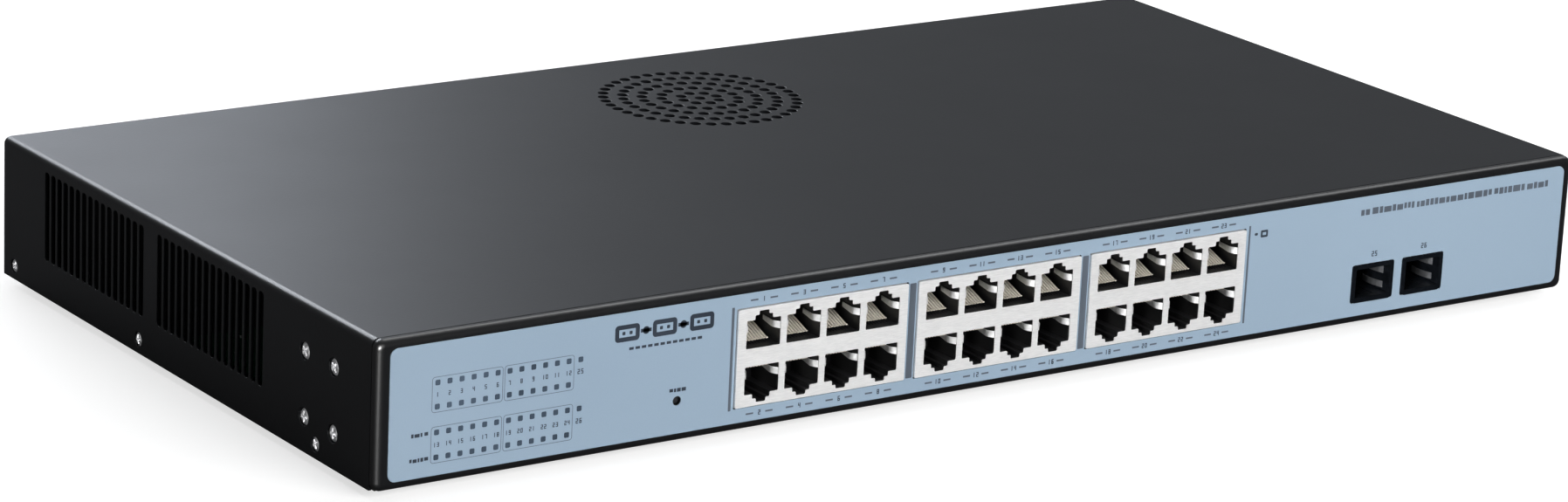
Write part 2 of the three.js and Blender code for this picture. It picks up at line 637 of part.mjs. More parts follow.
function powerInlet() {
  const wellHalfW = 12;
  const wellHalfH = 8.2;
  const wellOutline = [             // [x, z] from the centre, upper corners cut off
    [-wellHalfW, -wellHalfH], [wellHalfW, -wellHalfH], [wellHalfW, 3.6],
    [7.6, wellHalfH], [-7.6, wellHalfH], [-wellHalfW, 3.6],
  ].map(([x, z]) => [INLET_X + x, REAR_Z + z]);
  const pins = [[-7, -2], [7, -2], [0, 2]].map(([x, z]) => [INLET_X + x, REAR_Z + z]);
  const body = cut(
    join(
      rearRim(INLET_X, 15.5, 12.2, 3),
      box(span(INLET_X, 13.5), [94, REAR + 0.1], span(REAR_Z, 10)),
    ),
    prism(wellOutline, 'y', [99, REAR + 4]),
  );
  return join(
    body,
    ...pins.map(([x, z]) => box(span(x, 1), [98, REAR - 2.5], span(z, 2))),
    ...pins.map(([x, z]) => terminal(x, z, [87, 95])),
  );
}
add('power_inlet', powerInlet(), 'black_plastic');

function rockerFrame() {
  const body = cut(
    join(
      rearRim(ROCKER_X, 7.5, 10.5, 1.2),
      box(span(ROCKER_X, 6.5), [97, REAR + 0.1], span(REAR_Z, 9.5)),
    ),
    box(span(ROCKER_X, 5.3), [104, REAR + 4], span(REAR_Z, 8.4)),
  );
  return join(body, ...span(REAR_Z, 5).map((z) => terminal(ROCKER_X, z, [90, 98])));
}
add('rocker_frame', rockerFrame(), 'black_plastic');

function powerRocker() {
  const pivotY = 112.3;
  const tilt = 9 * Math.PI / 180;
  const level = [                   // [outwards, upwards] from the pivot
    [-5, -3], [-5, 3], [0.5, 7.4], [5.4, 7.3], [6.0, 6.7],
    [4.4, 0], [6.0, -6.7], [5.4, -7.3], [0.5, -7.4],
  ];
  const tilted = level.map(([out, up]) => [
    pivotY + out * Math.cos(tilt) - up * Math.sin(tilt),
    REAR_Z + out * Math.sin(tilt) + up * Math.cos(tilt),
  ]);
  return prism(tilted, 'x', span(ROCKER_X, 4.9));
}
add('power_rocker', powerRocker(), 'black_plastic');

// ---------------------------------------------------------------- internal cables
// Each is a cable with a plug block at both ends.
const mainsHarness = join(
  box([155, 175], [80.5, 86.5], [14, 30]),
  cable([
    [165, 82, 22], [158, 70, 18], [130, 66, 14], [104, 78, 11], [86, 86, 10.5], [78, 86, 10.5],
  ], 2.3, 14),
  box([69, 79], [80, 92], [ON_BOARD, 14]),
);
add('mains_harness', mainsHarness, 'cable');

const boardPowerHarness = join(
  box([-58, -44], [44, 51], [ON_BOARD, 14]),
  cable([[-51, 46, 12], [-51, 38, 17], [-51, 25, 19], [-51, 14, 17], [-51, 5, 12]], 2.0, 10),
  box([-58, -44], [0, 7], [ON_BOARD, 14]),
);
add('board_power_harness', boardPowerHarness, 'cable');

const fanCable = join(
  box([FAN_X - 39, FAN_X - 35.5], [34, 39], [FAN_Z0 + 4, FAN_Z0 + 9]),
  cable([
    [FAN_X - 37.2, 36.5, FAN_Z0 + 6], [FAN_X - 38.5, 30, 30],
    [-36, 20, 20], [-31, 11, 14], [-30, 8, 10],
  ], 1.0, 10),
  box([-34.5, -25.5], [5, 10.5], [ON_BOARD, 13]),
);
add('fan_cable', fanCable, 'cable');

group.updateMatrixWorld(true);
export default group;
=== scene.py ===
"""Rack-mount network switch: a 440 x 230 x 44 mm steel casing on four rubber feet.

The front panel, with 24 copper ports, two module cages and a lamp field, faces -Y; the mains
inlet and rocker are on +Y. Parts are modelled in casing millimetres: X from the middle of the
width, Y from the middle of the depth, Z from the underside of the sheet metal.
"""
import functools
import math
import random
from collections import namedtuple

import bpy
import bmesh
from mathutils import Matrix, Vector


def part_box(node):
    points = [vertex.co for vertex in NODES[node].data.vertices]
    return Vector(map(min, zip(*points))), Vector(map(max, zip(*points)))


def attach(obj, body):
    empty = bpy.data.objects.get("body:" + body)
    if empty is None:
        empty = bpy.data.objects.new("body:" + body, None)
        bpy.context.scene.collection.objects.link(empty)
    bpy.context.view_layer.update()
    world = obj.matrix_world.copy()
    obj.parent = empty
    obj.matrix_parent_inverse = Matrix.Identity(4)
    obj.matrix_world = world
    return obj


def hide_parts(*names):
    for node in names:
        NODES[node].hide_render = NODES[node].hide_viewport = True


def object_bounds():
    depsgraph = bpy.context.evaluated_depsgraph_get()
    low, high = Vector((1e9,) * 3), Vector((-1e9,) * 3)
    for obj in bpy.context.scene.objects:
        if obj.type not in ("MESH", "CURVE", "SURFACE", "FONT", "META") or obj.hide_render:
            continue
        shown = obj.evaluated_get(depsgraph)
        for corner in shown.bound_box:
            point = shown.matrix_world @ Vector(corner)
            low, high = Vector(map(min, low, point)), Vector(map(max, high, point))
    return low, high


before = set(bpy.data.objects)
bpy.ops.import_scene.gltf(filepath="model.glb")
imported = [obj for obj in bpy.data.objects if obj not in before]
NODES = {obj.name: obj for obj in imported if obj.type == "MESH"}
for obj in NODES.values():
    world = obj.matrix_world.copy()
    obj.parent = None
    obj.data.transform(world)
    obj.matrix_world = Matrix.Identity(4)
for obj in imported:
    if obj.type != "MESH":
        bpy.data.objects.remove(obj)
CAD_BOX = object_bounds()
scene = bpy.context.scene

# ---------------------------------------------------------------- casing coordinates, mm
SIDE = 220.0  # half the width
FRONT, REAR = -115.0, 115.0
HEIGHT = 44.0
SHEET = 1.0  # sheet thickness
BEND = 2.2  # outer radius of the sheet bends

_low, _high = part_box("chassis_tray")
ORIGIN_X = (_low.x + _high.x) * 500.0
ORIGIN_Y = _low.y * 1000.0 - FRONT
ORIGIN_Z = _low.z * 1000.0

Box = namedtuple("Box", "x y z")  # one (low, high) span per axis


def node_box(name):
    """A CAD node's box in casing millimetres."""
    low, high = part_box(name)
    return Box((low.x * 1000 - ORIGIN_X, high.x * 1000 - ORIGIN_X),
               (low.y * 1000 - ORIGIN_Y, high.y * 1000 - ORIGIN_Y),
               (low.z * 1000 - ORIGIN_Z, high.z * 1000 - ORIGIN_Z))


def to_world(x, y, z):
    return Vector(((x + ORIGIN_X) / 1000.0, (y + ORIGIN_Y) / 1000.0, (z + ORIGIN_Z) / 1000.0))


def mid(span):
    return (span[0] + span[1]) / 2


def around(centre, half):
    return centre - half, centre + half


def grown(span, margin):
    return span[0] - margin, span[1] + margin


def centre_of(name):
    return tuple(mid(span) for span in node_box(name))


def fractions(steps):
    """Even fractions from 0 to 1."""
    return [i / steps for i in range(steps + 1)]


# ---------------------------------------------------------------- outlines
def arc(u, v, radius, start, end, steps):
    """Points along an arc, angles in degrees."""
    angles = [math.radians(start + (end - start) * i / steps) for i in range(steps + 1)]
    return [(u + radius * math.cos(a), v + radius * math.sin(a)) for a in angles]


def circle(u, v, radius, count, turn=0.0):
    """A regular polygon, turned by a fraction of one side."""
    angles = [2 * math.pi * (i + turn) / count for i in range(count)]
    return [(u + radius * math.cos(a), v + radius * math.sin(a)) for a in angles]


def round_rect(u_span, v_span, radius, steps=6):
    (u_low, u_high), (v_low, v_high) = grown(u_span, -radius), grown(v_span, -radius)
    corners = ((u_high, v_high, 0), (u_low, v_high, 90), (u_low, v_low, 180), (u_high, v_low, 270))
    return [p for u, v, start in corners for p in arc(u, v, radius, start, start + 90, steps)]


def eased(points, radius):
    """Each corner of an outline replaced by three points that ease it."""
    out = []
    for i, point in enumerate(points):
        corner = Vector(point)
        to_last = Vector(points[i - 1]) - corner
        to_next = Vector(points[(i + 1) % len(points)]) - corner
        start = corner + to_last.normalized() * min(radius, to_last.length * 0.4)
        end = corner + to_next.normalized() * min(radius, to_next.length * 0.4)
        out += [tuple(start), tuple((start + end) * 0.25 + corner * 0.5), tuple(end)]
    return out


def signed_area(points):
    pairs = zip(points, points[1:] + points[:1])
    return sum(a[0] * b[1] - b[0] * a[1] for a, b in pairs) / 2


# ---------------------------------------------------------------- solids: (vertices, faces) in mm
TO_3D = {"x": lambda p, h: (h, p[0], p[1]),
         "y": lambda p, h: (p[0], h, p[1]),
         "z": lambda p, h: (p[0], p[1], h)}
# Turns +Z to the named axis.
TURNS = {"x": Matrix.Rotation(math.pi / 2, 3, "Y"),
         "-x": Matrix.Rotation(-math.pi / 2, 3, "Y"),
         "y": Matrix.Rotation(-math.pi / 2, 3, "X"),
         "z": Matrix.Identity(3)}


def prism(points, axis, span):
    """Closed prism of an outline; outline axes: z -> (X, Y), y -> (X, Z), x -> (Y, Z)."""
    if signed_area(points) < 0:
        points = points[::-1]
    count = len(points)
    verts = [TO_3D[axis](p, h) for h in span for p in points]
    faces = [tuple(reversed(range(count))), tuple(range(count, 2 * count))]
    for i in range(count):
        j = (i + 1) % count
        faces.append((i, j, count + j, count + i))
    if axis == "y":
        faces = [tuple(reversed(face)) for face in faces]
    return verts, faces


def block(x_span, y_span, z_span):
    (x0, x1), (y0, y1) = x_span, y_span
    return prism([(x0, y0), (x1, y0), (x1, y1), (x0, y1)], "z", z_span)


def loft(rings):
    """Capped skin between rings of equal point count, all wound the same way."""
    count = len(rings[0])
    faces = []
    for k in range(len(rings) - 1):
        for i in range(count):
            j = (i + 1) % count
            faces.append((k * count + i, k * count + j, (k + 1) * count + j, (k + 1) * count + i))
    last = (len(rings) - 1) * count
    faces += [tuple(reversed(range(count))), tuple(range(last, last + count))]
    return [p for ring in rings for p in ring], faces


def section(y, x_span, z_span):
    """Rectangular cross-section for a strip lofted along Y."""
    (x0, x1), (z0, z1) = x_span, z_span
    return [(x0, y, z0), (x1, y, z0), (x1, y, z1), (x0, y, z1)]


def lathe(profile, segments, axis, centre):
    """Turned solid. profile runs [(radius, height), ...] from the axis back to the axis."""
    rings, verts, faces = [], [], []
    for radius, height in profile:
        if radius < 1e-6:
            rings.append([len(verts)])
            verts.append((0, 0, height))
        else:
            rings.append(list(range(len(verts), len(verts) + segments)))
            verts += [(x, y, height) for x, y in circle(0, 0, radius, segments)]
    for a, b in zip(rings, rings[1:]):
        for i in range(segments):
            j = (i + 1) % segments
            if len(a) == 1:
                faces.append((a[0], b[j], b[i]))
            elif len(b) == 1:
                faces.append((a[i], a[j], b[0]))
            else:
                faces.append((a[i], a[j], b[j], b[i]))
    return [tuple(TURNS[axis] @ Vector(v) + Vector(centre)) for v in verts], faces


# ---------------------------------------------------------------- mesh objects
def new_mesh(name, parts):
    """One object from several solids."""
    verts, faces = [], []
    for part_verts, part_faces in parts:
        base = len(verts)
        verts += [tuple(to_world(*p)) for p in part_verts]
        faces += [tuple(base + i for i in face) for face in part_faces]
    mesh = bpy.data.meshes.new(name)
    mesh.from_pydata(verts, [], faces)
    mesh.validate()
    bm = bmesh.new()
    bm.from_mesh(mesh)
    bmesh.ops.recalc_face_normals(bm, faces=bm.faces)
    bm.to_mesh(mesh)
    bm.free()
    mesh.update()
    ob = bpy.data.objects.new(name, mesh)
    scene.collection.objects.link(ob)
    return ob


def apply_modifiers(ob):
    """Replaces the object's mesh by its evaluated one and clears its modifiers."""
    depsgraph = bpy.context.evaluated_depsgraph_get()
    depsgraph.update()
    mesh = bpy.data.meshes.new_from_object(ob.evaluated_get(depsgraph), depsgraph=depsgraph)
    old = ob.data
    ob.modifiers.clear()
    ob.data = mesh
    if old.users == 0:
        bpy.data.meshes.remove(old)


def boolean(ob, parts, operation):
    cutter = new_mesh("cutter", parts)
    modifier = ob.modifiers.new("b", "BOOLEAN")
    modifier.operation = operation
    modifier.solver = "EXACT"
    modifier.object = cutter
    apply_modifiers(ob)
    mesh = cutter.data
    bpy.data.objects.remove(cutter)
    if mesh.users == 0:
        bpy.data.meshes.remove(mesh)


def cut(ob, *parts):
    boolean(ob, parts, "DIFFERENCE")


def join(ob, *parts):
    boolean(ob, parts, "UNION")


def add_bevel(ob, width, segments, angle):
    """Bevel modifier; width in mm, angle in degrees."""
    modifier = ob.modifiers.new("edge", "BEVEL")
    modifier.width = width / 1000.0
    modifier.segments = segments
    modifier.limit_method = "ANGLE"
    modifier.angle_limit = math.radians(angle)
    modifier.use_clamp_overlap = True


def bevel(ob, width, segments=2, angle=50):
    add_bevel(ob, width, segments, angle)
    apply_modifiers(ob)


def smooth(ob, angle=32):
    """Smooth shading, sharp above the angle, with weighted normals."""
    mesh = ob.data
    mesh.polygons.foreach_set("use_smooth", [True] * len(mesh.polygons))
    mesh.set_sharp_from_angle(angle=math.radians(angle))
    mesh.update()
    modifier = ob.modifiers.new("normals", "WEIGHTED_NORMAL")
    modifier.mode = "FACE_AREA"
    modifier.weight = 92
    modifier.keep_sharp = True
    apply_modifiers(ob)


def piece(ob, slot, material, *replaced, body="casing"):
    """Hands a finished object to its body."""
    ob.data.materials.clear()
    ob.data.materials.append(material)
    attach(ob, body)
    if replaced:
        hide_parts(*replaced)


# ---------------------------------------------------------------- shader building
MIDDLE = (0.3, 0.7)  # the part of a noise's range that carries its contrast


def shade(color, factor):
    return tuple(min(1, c * factor) for c in color)


class Shader:
    """A Principled material, with short calls for the nodes that feed it."""

    INPUTS = {"color": "Base Color", "rough": "Roughness", "metal": "Metallic",
              "coat": "Coat Weight", "coat_rough": "Coat Roughness",
              "spec": "Specular IOR Level", "trans": "Transmission Weight", "ior": "IOR",
              "emit": "Emission Color", "emit_power": "Emission Strength"}

    def __init__(self, name):
        self.material = bpy.data.materials.new(name)
        self.material.use_nodes = True
        self.tree = self.material.node_tree
        self.principled = self.tree.nodes["Principled BSDF"]

    @functools.cached_property
    def coords(self):
        return self.new("TexCoord").outputs["Object"]

    def new(self, kind):
        return self.tree.nodes.new("ShaderNode" + kind)

    def link(self, source, target):
        self.tree.links.new(source, target)

    def put(self, socket, value):
        """Links a socket or sets a value; a three-part colour gets full alpha."""
        if isinstance(value, bpy.types.NodeSocket):
            self.link(value, socket)
        else:
            is_rgb = isinstance(value, tuple) and len(value) == 3
            socket.default_value = (*value, 1) if is_rgb else value

    def stretched(self, scale):
        node = self.new("Mapping")
        node.inputs["Scale"].default_value = scale
        self.link(self.coords, node.inputs["Vector"])
        return node.outputs["Vector"]

    def noise(self, scale, detail=2, roughness=0.5, vector=None):
        node = self.new("TexNoise")
        node.inputs["Scale"].default_value = scale
        node.inputs["Detail"].default_value = detail
        node.inputs["Roughness"].default_value = roughness
        self.link(vector or self.coords, node.inputs["Vector"])
        return node.outputs["Fac"]

    def voronoi(self, scale):
        node = self.new("TexVoronoi")
        node.inputs["Scale"].default_value = scale
        self.link(self.coords, node.inputs["Vector"])
        return node.outputs["Distance"]

    def ramp(self, value, low, high):
        """Blends two colours over the middle of the value's range."""
        node = self.new("ValToRGB")
        for element, position, color in zip(node.color_ramp.elements, MIDDLE, (low, high)):
            element.position = position
            element.color = (*color, 1)
        self.link(value, node.inputs["Fac"])
        return node.outputs["Color"]

    def remap(self, value, to, source=MIDDLE):
        """Clamped linear map from the source range to another."""
        node = self.new("MapRange")
        node.clamp = True
        node.inputs["From Min"].default_value, node.inputs["From Max"].default_value = source
        node.inputs["To Min"].default_value, node.inputs["To Max"].default_value = to
        self.link(value, node.inputs["Value"])
        return node.outputs["Result"]

    def mix(self, factor, first, second):
        node = self.new("Mix")
        node.data_type = "RGBA"
        # Of a Mix node's inputs, 0 is the factor and 6 and 7 are the colours.
        for index, value in ((0, factor), (6, first), (7, second)):
            self.put(node.inputs[index], value)
        return node.outputs[2]

    def maths(self, operation, first, second):
        node = self.new("Math")
        node.operation = operation
        self.put(node.inputs[0], first)
        self.put(node.inputs[1], second)
        return node.outputs[0]

    def edges(self, source):
        """1 on convex edges, 0 on flats."""
        return self.remap(self.new("NewGeometry").outputs["Pointiness"], to=(0, 1), source=source)

    def bump(self, height, strength, depth):
        """Surface relief; depth in mm."""
        node = self.new("Bump")
        node.inputs["Strength"].default_value = strength
        node.inputs["Distance"].default_value = depth / 1000.0
        self.link(height, node.inputs["Height"])
        self.link(node.outputs["Normal"], self.principled.inputs["Normal"])

    def set(self, **values):
        for key, value in values.items():
            self.put(self.principled.inputs[self.INPUTS[key]], value)


# ---------------------------------------------------------------- material families
def powder_coat(name, color, rough, painted_edge_highlight=0.0):
    """Fine orange-peel coat, slightly cloudy and specked; a painted highlight can lighten the
    edges.
    """
    s = Shader(name)
    cloud = s.noise(18, detail=3)
    speck = s.noise(2600, roughness=0.6)
    tint = s.ramp(cloud, shade(color, 0.94), shade(color, 1.08))
    tint = s.mix(s.remap(speck, to=(0, 0.35), source=(0.58, 0.75)), tint, shade(color, 1.9))
    # lighter tint along convex edges: a painted highlight, off at the default of zero
    highlight_tint = tuple(c * 3.2 + 0.02 for c in color)
    tint = s.mix(s.maths("MULTIPLY", s.edges(source=(0.515, 0.6)), painted_edge_highlight), tint, highlight_tint)
    s.set(color=tint, rough=s.remap(s.noise(22, detail=3), to=(rough - 0.012, rough + 0.014)),
          metal=0.0, spec=0.5)
    peel = s.maths("ADD", s.noise(900), s.maths("MULTIPLY", s.noise(3200), 0.5))
    s.bump(peel, strength=0.28, depth=0.06)
    return s.material


def metal(name, color, rough, stretch=None, bump=0.08, scale=700, metallic=1.0):
    """Noise-mottled metal; stretch scales the noise per axis for a drawn grain."""
    s = Shader(name)
    vector = s.stretched(stretch) if stretch else None
    grain = s.noise(scale, detail=4, roughness=0.6, vector=vector)
    tint = s.ramp(grain, shade(color, 0.88), shade(color, 1.05))
    s.set(color=tint, metal=metallic, rough=s.remap(grain, to=(rough - 0.07, rough + 0.09)))
    s.bump(grain, strength=bump, depth=0.02)
    return s.material


def plastic(name, color, rough, grain=1400, bump=0.12, spread=0.25):
    """Moulded plastic; spread is the tint's variation to either side of the colour."""
    s = Shader(name)
    fine = s.noise(grain)
    cloud = s.noise(45, detail=3)
    tint = s.ramp(cloud, shade(color, 1 - spread), shade(color, 1 + spread))
    s.set(color=tint, rough=s.remap(cloud, to=(rough - 0.05, rough + 0.07)), metal=0.0)
    s.bump(fine, strength=bump, depth=0.03)
    return s.material


def wound(name, low, high, scale, rough, metallic=0.0, bump=0.2):
    """Wound tape or wire: bands along Z."""
    s = Shader(name)
    wave = s.new("TexWave")
    wave.bands_direction = "Z"
    wave.inputs["Scale"].default_value = scale
    wave.inputs["Distortion"].default_value = 0.4
    s.link(s.coords, wave.inputs["Vector"])
    bands = wave.outputs["Fac"]
    s.set(color=s.ramp(bands, low, high), rough=rough, metal=metallic)
    s.bump(bands, strength=bump, depth=0.1)
    return s.material


def film_material():
    """Screen-printed polyester: fine satin texture over an uneven pale blue print."""
    s = Shader("printed_film_blue")
    base = s.ramp(s.noise(9), (0.292, 0.390, 0.497), (0.318, 0.420, 0.530))
    fleck = s.remap(s.noise(2400), to=(0, 0.12), source=(0.45, 0.75))
    tint = s.mix(fleck, base, (0.38, 0.48, 0.59))
    s.set(color=tint, rough=s.remap(s.noise(1300), to=(0.32, 0.46)), coat=0.12, coat_rough=0.35)
    s.bump(s.voronoi(1500), strength=0.10, depth=0.03)
    return s.material


def board_material():
    """Green solder resist over a brick pattern, with small pale dots."""
    s = Shader("circuit_board_green")
    brick = s.new("TexBrick")
    for key, value in (("Scale", 130), ("Mortar Size", 0.012), ("Color1", (0.006, 0.075, 0.032)),
                       ("Color2", (0.005, 0.062, 0.028)), ("Mortar", (0.02, 0.15, 0.06))):
        s.put(brick.inputs[key], value)
    s.link(s.coords, brick.inputs["Vector"])
    dots = s.remap(s.voronoi(260), to=(1, 0), source=(0.045, 0.06))
    tint = s.mix(dots, brick.outputs["Color"], (0.62, 0.60, 0.5))
    s.set(color=tint, rough=0.34, coat=0.3, coat_rough=0.15)
    s.bump(s.noise(4200), strength=0.12, depth=0.03)
    return s.material


def clear_material():
    s = Shader("clear_light_guide")
    tint_noise = s.noise(300, detail=3, roughness=0.55)
    tint = s.ramp(tint_noise, (0.78, 0.84, 0.88), (0.88, 0.92, 0.95))
    rough_noise = s.noise(800, detail=3, roughness=0.55)
    s.set(color=tint, rough=s.remap(rough_noise, to=(0.1, 0.2), source=(0, 1)), trans=0.7, ior=1.5)
    return s.material


CASE_PAINT = powder_coat("casing_powder_coat", color=(0.0072, 0.0077, 0.0092), rough=0.36)
TRAY_PAINT = powder_coat("tray_powder_coat", color=(0.0042, 0.0045, 0.0053), rough=0.34)
ZINC = metal("zinc_plate", color=(0.66, 0.67, 0.68), rough=0.30, bump=0.06)
SCREW_ZINC = metal("screw_zinc", color=(0.88, 0.88, 0.89), rough=0.34, bump=0.03, scale=1200,
                   metallic=0.75)
TIN = metal("tin_plate", color=(0.96, 0.965, 0.97), rough=0.45, stretch=(1.0, 1.0, 14.0),
            bump=0.03, scale=420, metallic=0.45)
# Cage steel, rims and fingers coloured near black: painted shade for the dark inside of the module
# cages.
CAGE_STEEL_PAINTED_SHADE = metal("cage_steel_painted_shade", color=(0.034, 0.041, 0.053), rough=0.40, bump=0.05)
TAB_STEEL = metal("cage_spring_steel", color=(0.42, 0.43, 0.45), rough=0.36, bump=0.03,
                  scale=900, metallic=0.7)
GOLD = metal("contact_gold", color=(0.92, 0.86, 0.74), rough=0.42, bump=0.03, scale=900,
             metallic=0.45)
SPRING_TIN = metal("spring_tin", color=(0.97, 0.97, 0.97), rough=0.35, bump=0.02, scale=900,
                   metallic=0.4)
ALUMINIUM = metal("extruded_aluminium", color=(0.60, 0.61, 0.63), rough=0.36,
                  stretch=(1.0, 0.05, 1.0), bump=0.10, scale=900)
BLACK_PLASTIC = plastic("black_moulding", color=(0.012, 0.012, 0.0135), rough=0.42)
JACK_PLASTIC = plastic("jack_moulding", color=(0.010, 0.010, 0.011), rough=0.36, bump=0.08)
FAN_PLASTIC = plastic("fan_moulding", color=(0.016, 0.016, 0.018), rough=0.45)
ROCKER_PLASTIC = plastic("rocker_gloss", color=(0.010, 0.010, 0.011), rough=0.22, bump=0.05)
RUBBER = plastic("foot_rubber_matt", color=(0.017, 0.017, 0.018), rough=0.82, grain=2200, bump=0.3)
CHIP_EPOXY = plastic("chip_epoxy", color=(0.022, 0.022, 0.024), rough=0.55, grain=3500, bump=0.2)
CABLE_SLEEVE = plastic("cable_sleeve_black", color=(0.018, 0.018, 0.02), rough=0.5, grain=900,
                       bump=0.4)
CAPACITOR = plastic("capacitor_sleeve", color=(0.02, 0.03, 0.07), rough=0.28, bump=0.04)
INK_DARK = plastic("print_ink", color=(0.018, 0.028, 0.045), rough=0.5, spread=0.15)
# grey ink for print, also used for bars of painted shade beside and between the jack groups
GREY_INK_AND_PAINTED_SHADE = plastic("print_ink_grey_and_painted_shade", color=(0.085, 0.105, 0.135), rough=0.5, spread=0.12)
INK_WHITE = plastic("print_ink_white", color=(0.75, 0.75, 0.75), rough=0.5, spread=0.05)
LAMP_WINDOW = plastic("smoked_lamp_window", color=(0.06, 0.085, 0.12), rough=0.15, bump=0.02,
                      spread=0.3)
FILM = film_material()
BOARD = board_material()
TAPE = wound("transformer_tape_yellow", low=(0.55, 0.36, 0.02), high=(0.70, 0.50, 0.05),
             scale=160, rough=0.3)
COPPER = wound("copper_winding_wire", low=(0.42, 0.14, 0.04), high=(0.72, 0.32, 0.12),
               scale=260, rough=0.3, metallic=0.9, bump=0.6)
CLEAR = clear_material()

# ---------------------------------------------------------------- places read from the CAD nodes
JACKS = [node_box(f"jack_shield_{n}") for n in (1, 2, 3)]
CAGES = [node_box(f"module_cage_{n}") for n in (1, 2)]
PORT_PITCH, PORT_HALF_WIDTH = 14.0, 5.9
ROW_MIDDLE = 22.1  # height that mirrors the upper port row to the lower
CONTACT_PITCH = 1.02

LAMP_PITCH, LAMP_COLUMNS = 3.87, 12
LAMP_ROWS = (29.8, 22.8, 15.3, 8.0)
LAMP_X = node_box("led_light_guide").x[0] + 2.6  # first column
LAMP_END_X = LAMP_X + LAMP_PITCH * LAMP_COLUMNS  # the extra column of two

RESET_X, _, RESET_Z = centre_of("reset_button")
VENT_X, VENT_Y, _ = centre_of("fan_frame")
INLET_X, _, REAR_Z = centre_of("power_inlet")
ROCKER_X, _, _ = centre_of("rocker_frame")
GROUND_X, _, GROUND_Z = centre_of("ground_screw")

SIDES = (("left", -1), ("right", 1))
SCREW_COUNTS = {"cover": 3, "ear": 4}  # screws on each side


def wall_span(sign, face, inward, outward):
    """X span across a side wall whose outer face is at +-face."""
    return tuple(sorted((sign * (face - inward), sign * (face + outward))))


def screw_holes(side, x_span, radii, segments):
    holes = []
    for kind, count in SCREW_COUNTS.items():
        for i in range(1, count + 1):
            _, y, z = centre_of(f"{kind}_screw_{side}_{i}")
            holes.append(prism(circle(y, z, radii[kind], segments), "x", x_span))
    return holes


def front_openings(y_span, jack_gap, jack_radius, cage_half, cage_z, cage_steps, reset_segments):
    """Cutters for the jacks, module cages and reset button."""
    cuts = []
    for jack in JACKS:
        hole = round_rect(grown(jack.x, jack_gap), grown(jack.z, jack_gap), jack_radius, 3)
        cuts.append(prism(hole, "y", y_span))
    for cage in CAGES:
        hole = round_rect(around(mid(cage.x), cage_half), cage_z, 0.8, cage_steps)
        cuts.append(prism(hole, "y", y_span))
    cuts.append(prism(circle(RESET_X, RESET_Z, 1.4, reset_segments), "y", y_span))
    return cuts


# ---------------------------------------------------------------- top cover
SLOT_PITCH, SLOT_WIDTH, SLOT_Z = 4.1, 2.9, (12, 40)
SLOTS_PER_GROUP = 16
SLOT_GROUP_STARTS = (-50.5, 22.5)
VENT_RINGS, VENT_PITCH, VENT_RADIUS = 5, 6.3, 1.8
STUD_OFFSET, STUD_RADIUS, STUD_BOTTOM = 30, 1.4, 23.9


def cover_outline():
    """The folded sheet seen along Y: outer skin right to left, then inner skin back."""
    x, z = SIDE - BEND, HEIGHT - BEND
    inner = BEND - SHEET
    return ([(SIDE, 0)] + arc(x, z, BEND, 0, 90, 8) + arc(-x, z, BEND, 90, 180, 8)
            + [(-SIDE, 0), (-SIDE + SHEET, 0)]
            + arc(-x, z, inner, 180, 90, 5) + arc(x, z, inner, 90, 0, 5) + [(SIDE - SHEET, 0)])


def cover_side_cuts():
    cuts = []
    for side, sign in SIDES:
        x_span = wall_span(sign, SIDE, inward=3, outward=1)
        for start in SLOT_GROUP_STARTS:
            for i in range(SLOTS_PER_GROUP):
                y = start + SLOT_PITCH * i
                cuts.append(prism(round_rect((y, y + SLOT_WIDTH), SLOT_Z, 1.15, 4), "x", x_span))
        cuts += screw_holes(side, x_span, {"cover": 2.3, "ear": 2.75}, 28)
    return cuts


def vent_holes():
    """A centre hole over the fan, and rings of 8, 16, 24... holes around it."""
    places = [(VENT_X, VENT_Y)]
    for ring in range(1, VENT_RINGS + 1):
        places += circle(VENT_X, VENT_Y, VENT_PITCH * ring, 8 * ring)
    return [prism(circle(x, y, VENT_RADIUS, 20), "z", (HEIGHT - 3, HEIGHT + 1)) for x, y in places]


def build_cover():
    ob = new_mesh("cover_shell", [prism(cover_outline(), "y", (FRONT + 3.4, REAR))])
    cut(ob, *cover_side_cuts(), *vent_holes())
    join(ob, *[prism(circle(VENT_X + i * STUD_OFFSET, VENT_Y + j * STUD_OFFSET, STUD_RADIUS, 16),
                     "z", (STUD_BOTTOM, HEIGHT - 0.5)) for i in (-1, 1) for j in (-1, 1)])
    bevel(ob, 0.14)
    smooth(ob, 20)
    piece(ob, "casing_paint", CASE_PAINT, "top_cover")
    return ob


# ---------------------------------------------------------------- chassis tray
TRAY_SIDE = SIDE - 1.3  # half the width inside the cover
TRAY_TOP = 42.7
# Side wall seen along X, (y, z): a low lip with a tall tab near the front.
SIDE_LIP = [
    (FRONT + 3.6, 0.5), (REAR - 1.4, 0.5), (REAR - 1.4, 9), (-66, 9), (-67.4, 9.6), (-68, 11),
    (-68, 35.5), (-69.5, 37), (-100.5, 37), (-102, 35.5), (-102, 11), (-102.6, 9.6), (-104, 9),
    (FRONT + 3.6, 9)]
# Rear wall seen along Y, (x, z), with cut-off top corners.
REAR_WALL = [
    (-TRAY_SIDE, 0.5), (TRAY_SIDE, 0.5), (TRAY_SIDE, TRAY_TOP - 1.5), (TRAY_SIDE - 1.5, TRAY_TOP),
    (-TRAY_SIDE + 1.5, TRAY_TOP), (-TRAY_SIDE, TRAY_TOP - 1.5)]
# Posts on the floor: (x, y) places, and the (radius, z) profile.
POSTS = [(-196, -84), (-30, -84), (100, -84), (-196, 8), (-100, 8), (168, 8), (-55, 33),
         (75, 33), (-55, 99), (75, 99)]
POST_PROFILE = [(0, 0.6), (3.6, 0.6), (3.1, 1.2), (3.0, 1.4), (2.9, 4.5), (2.6, 4.8), (0, 4.8)]


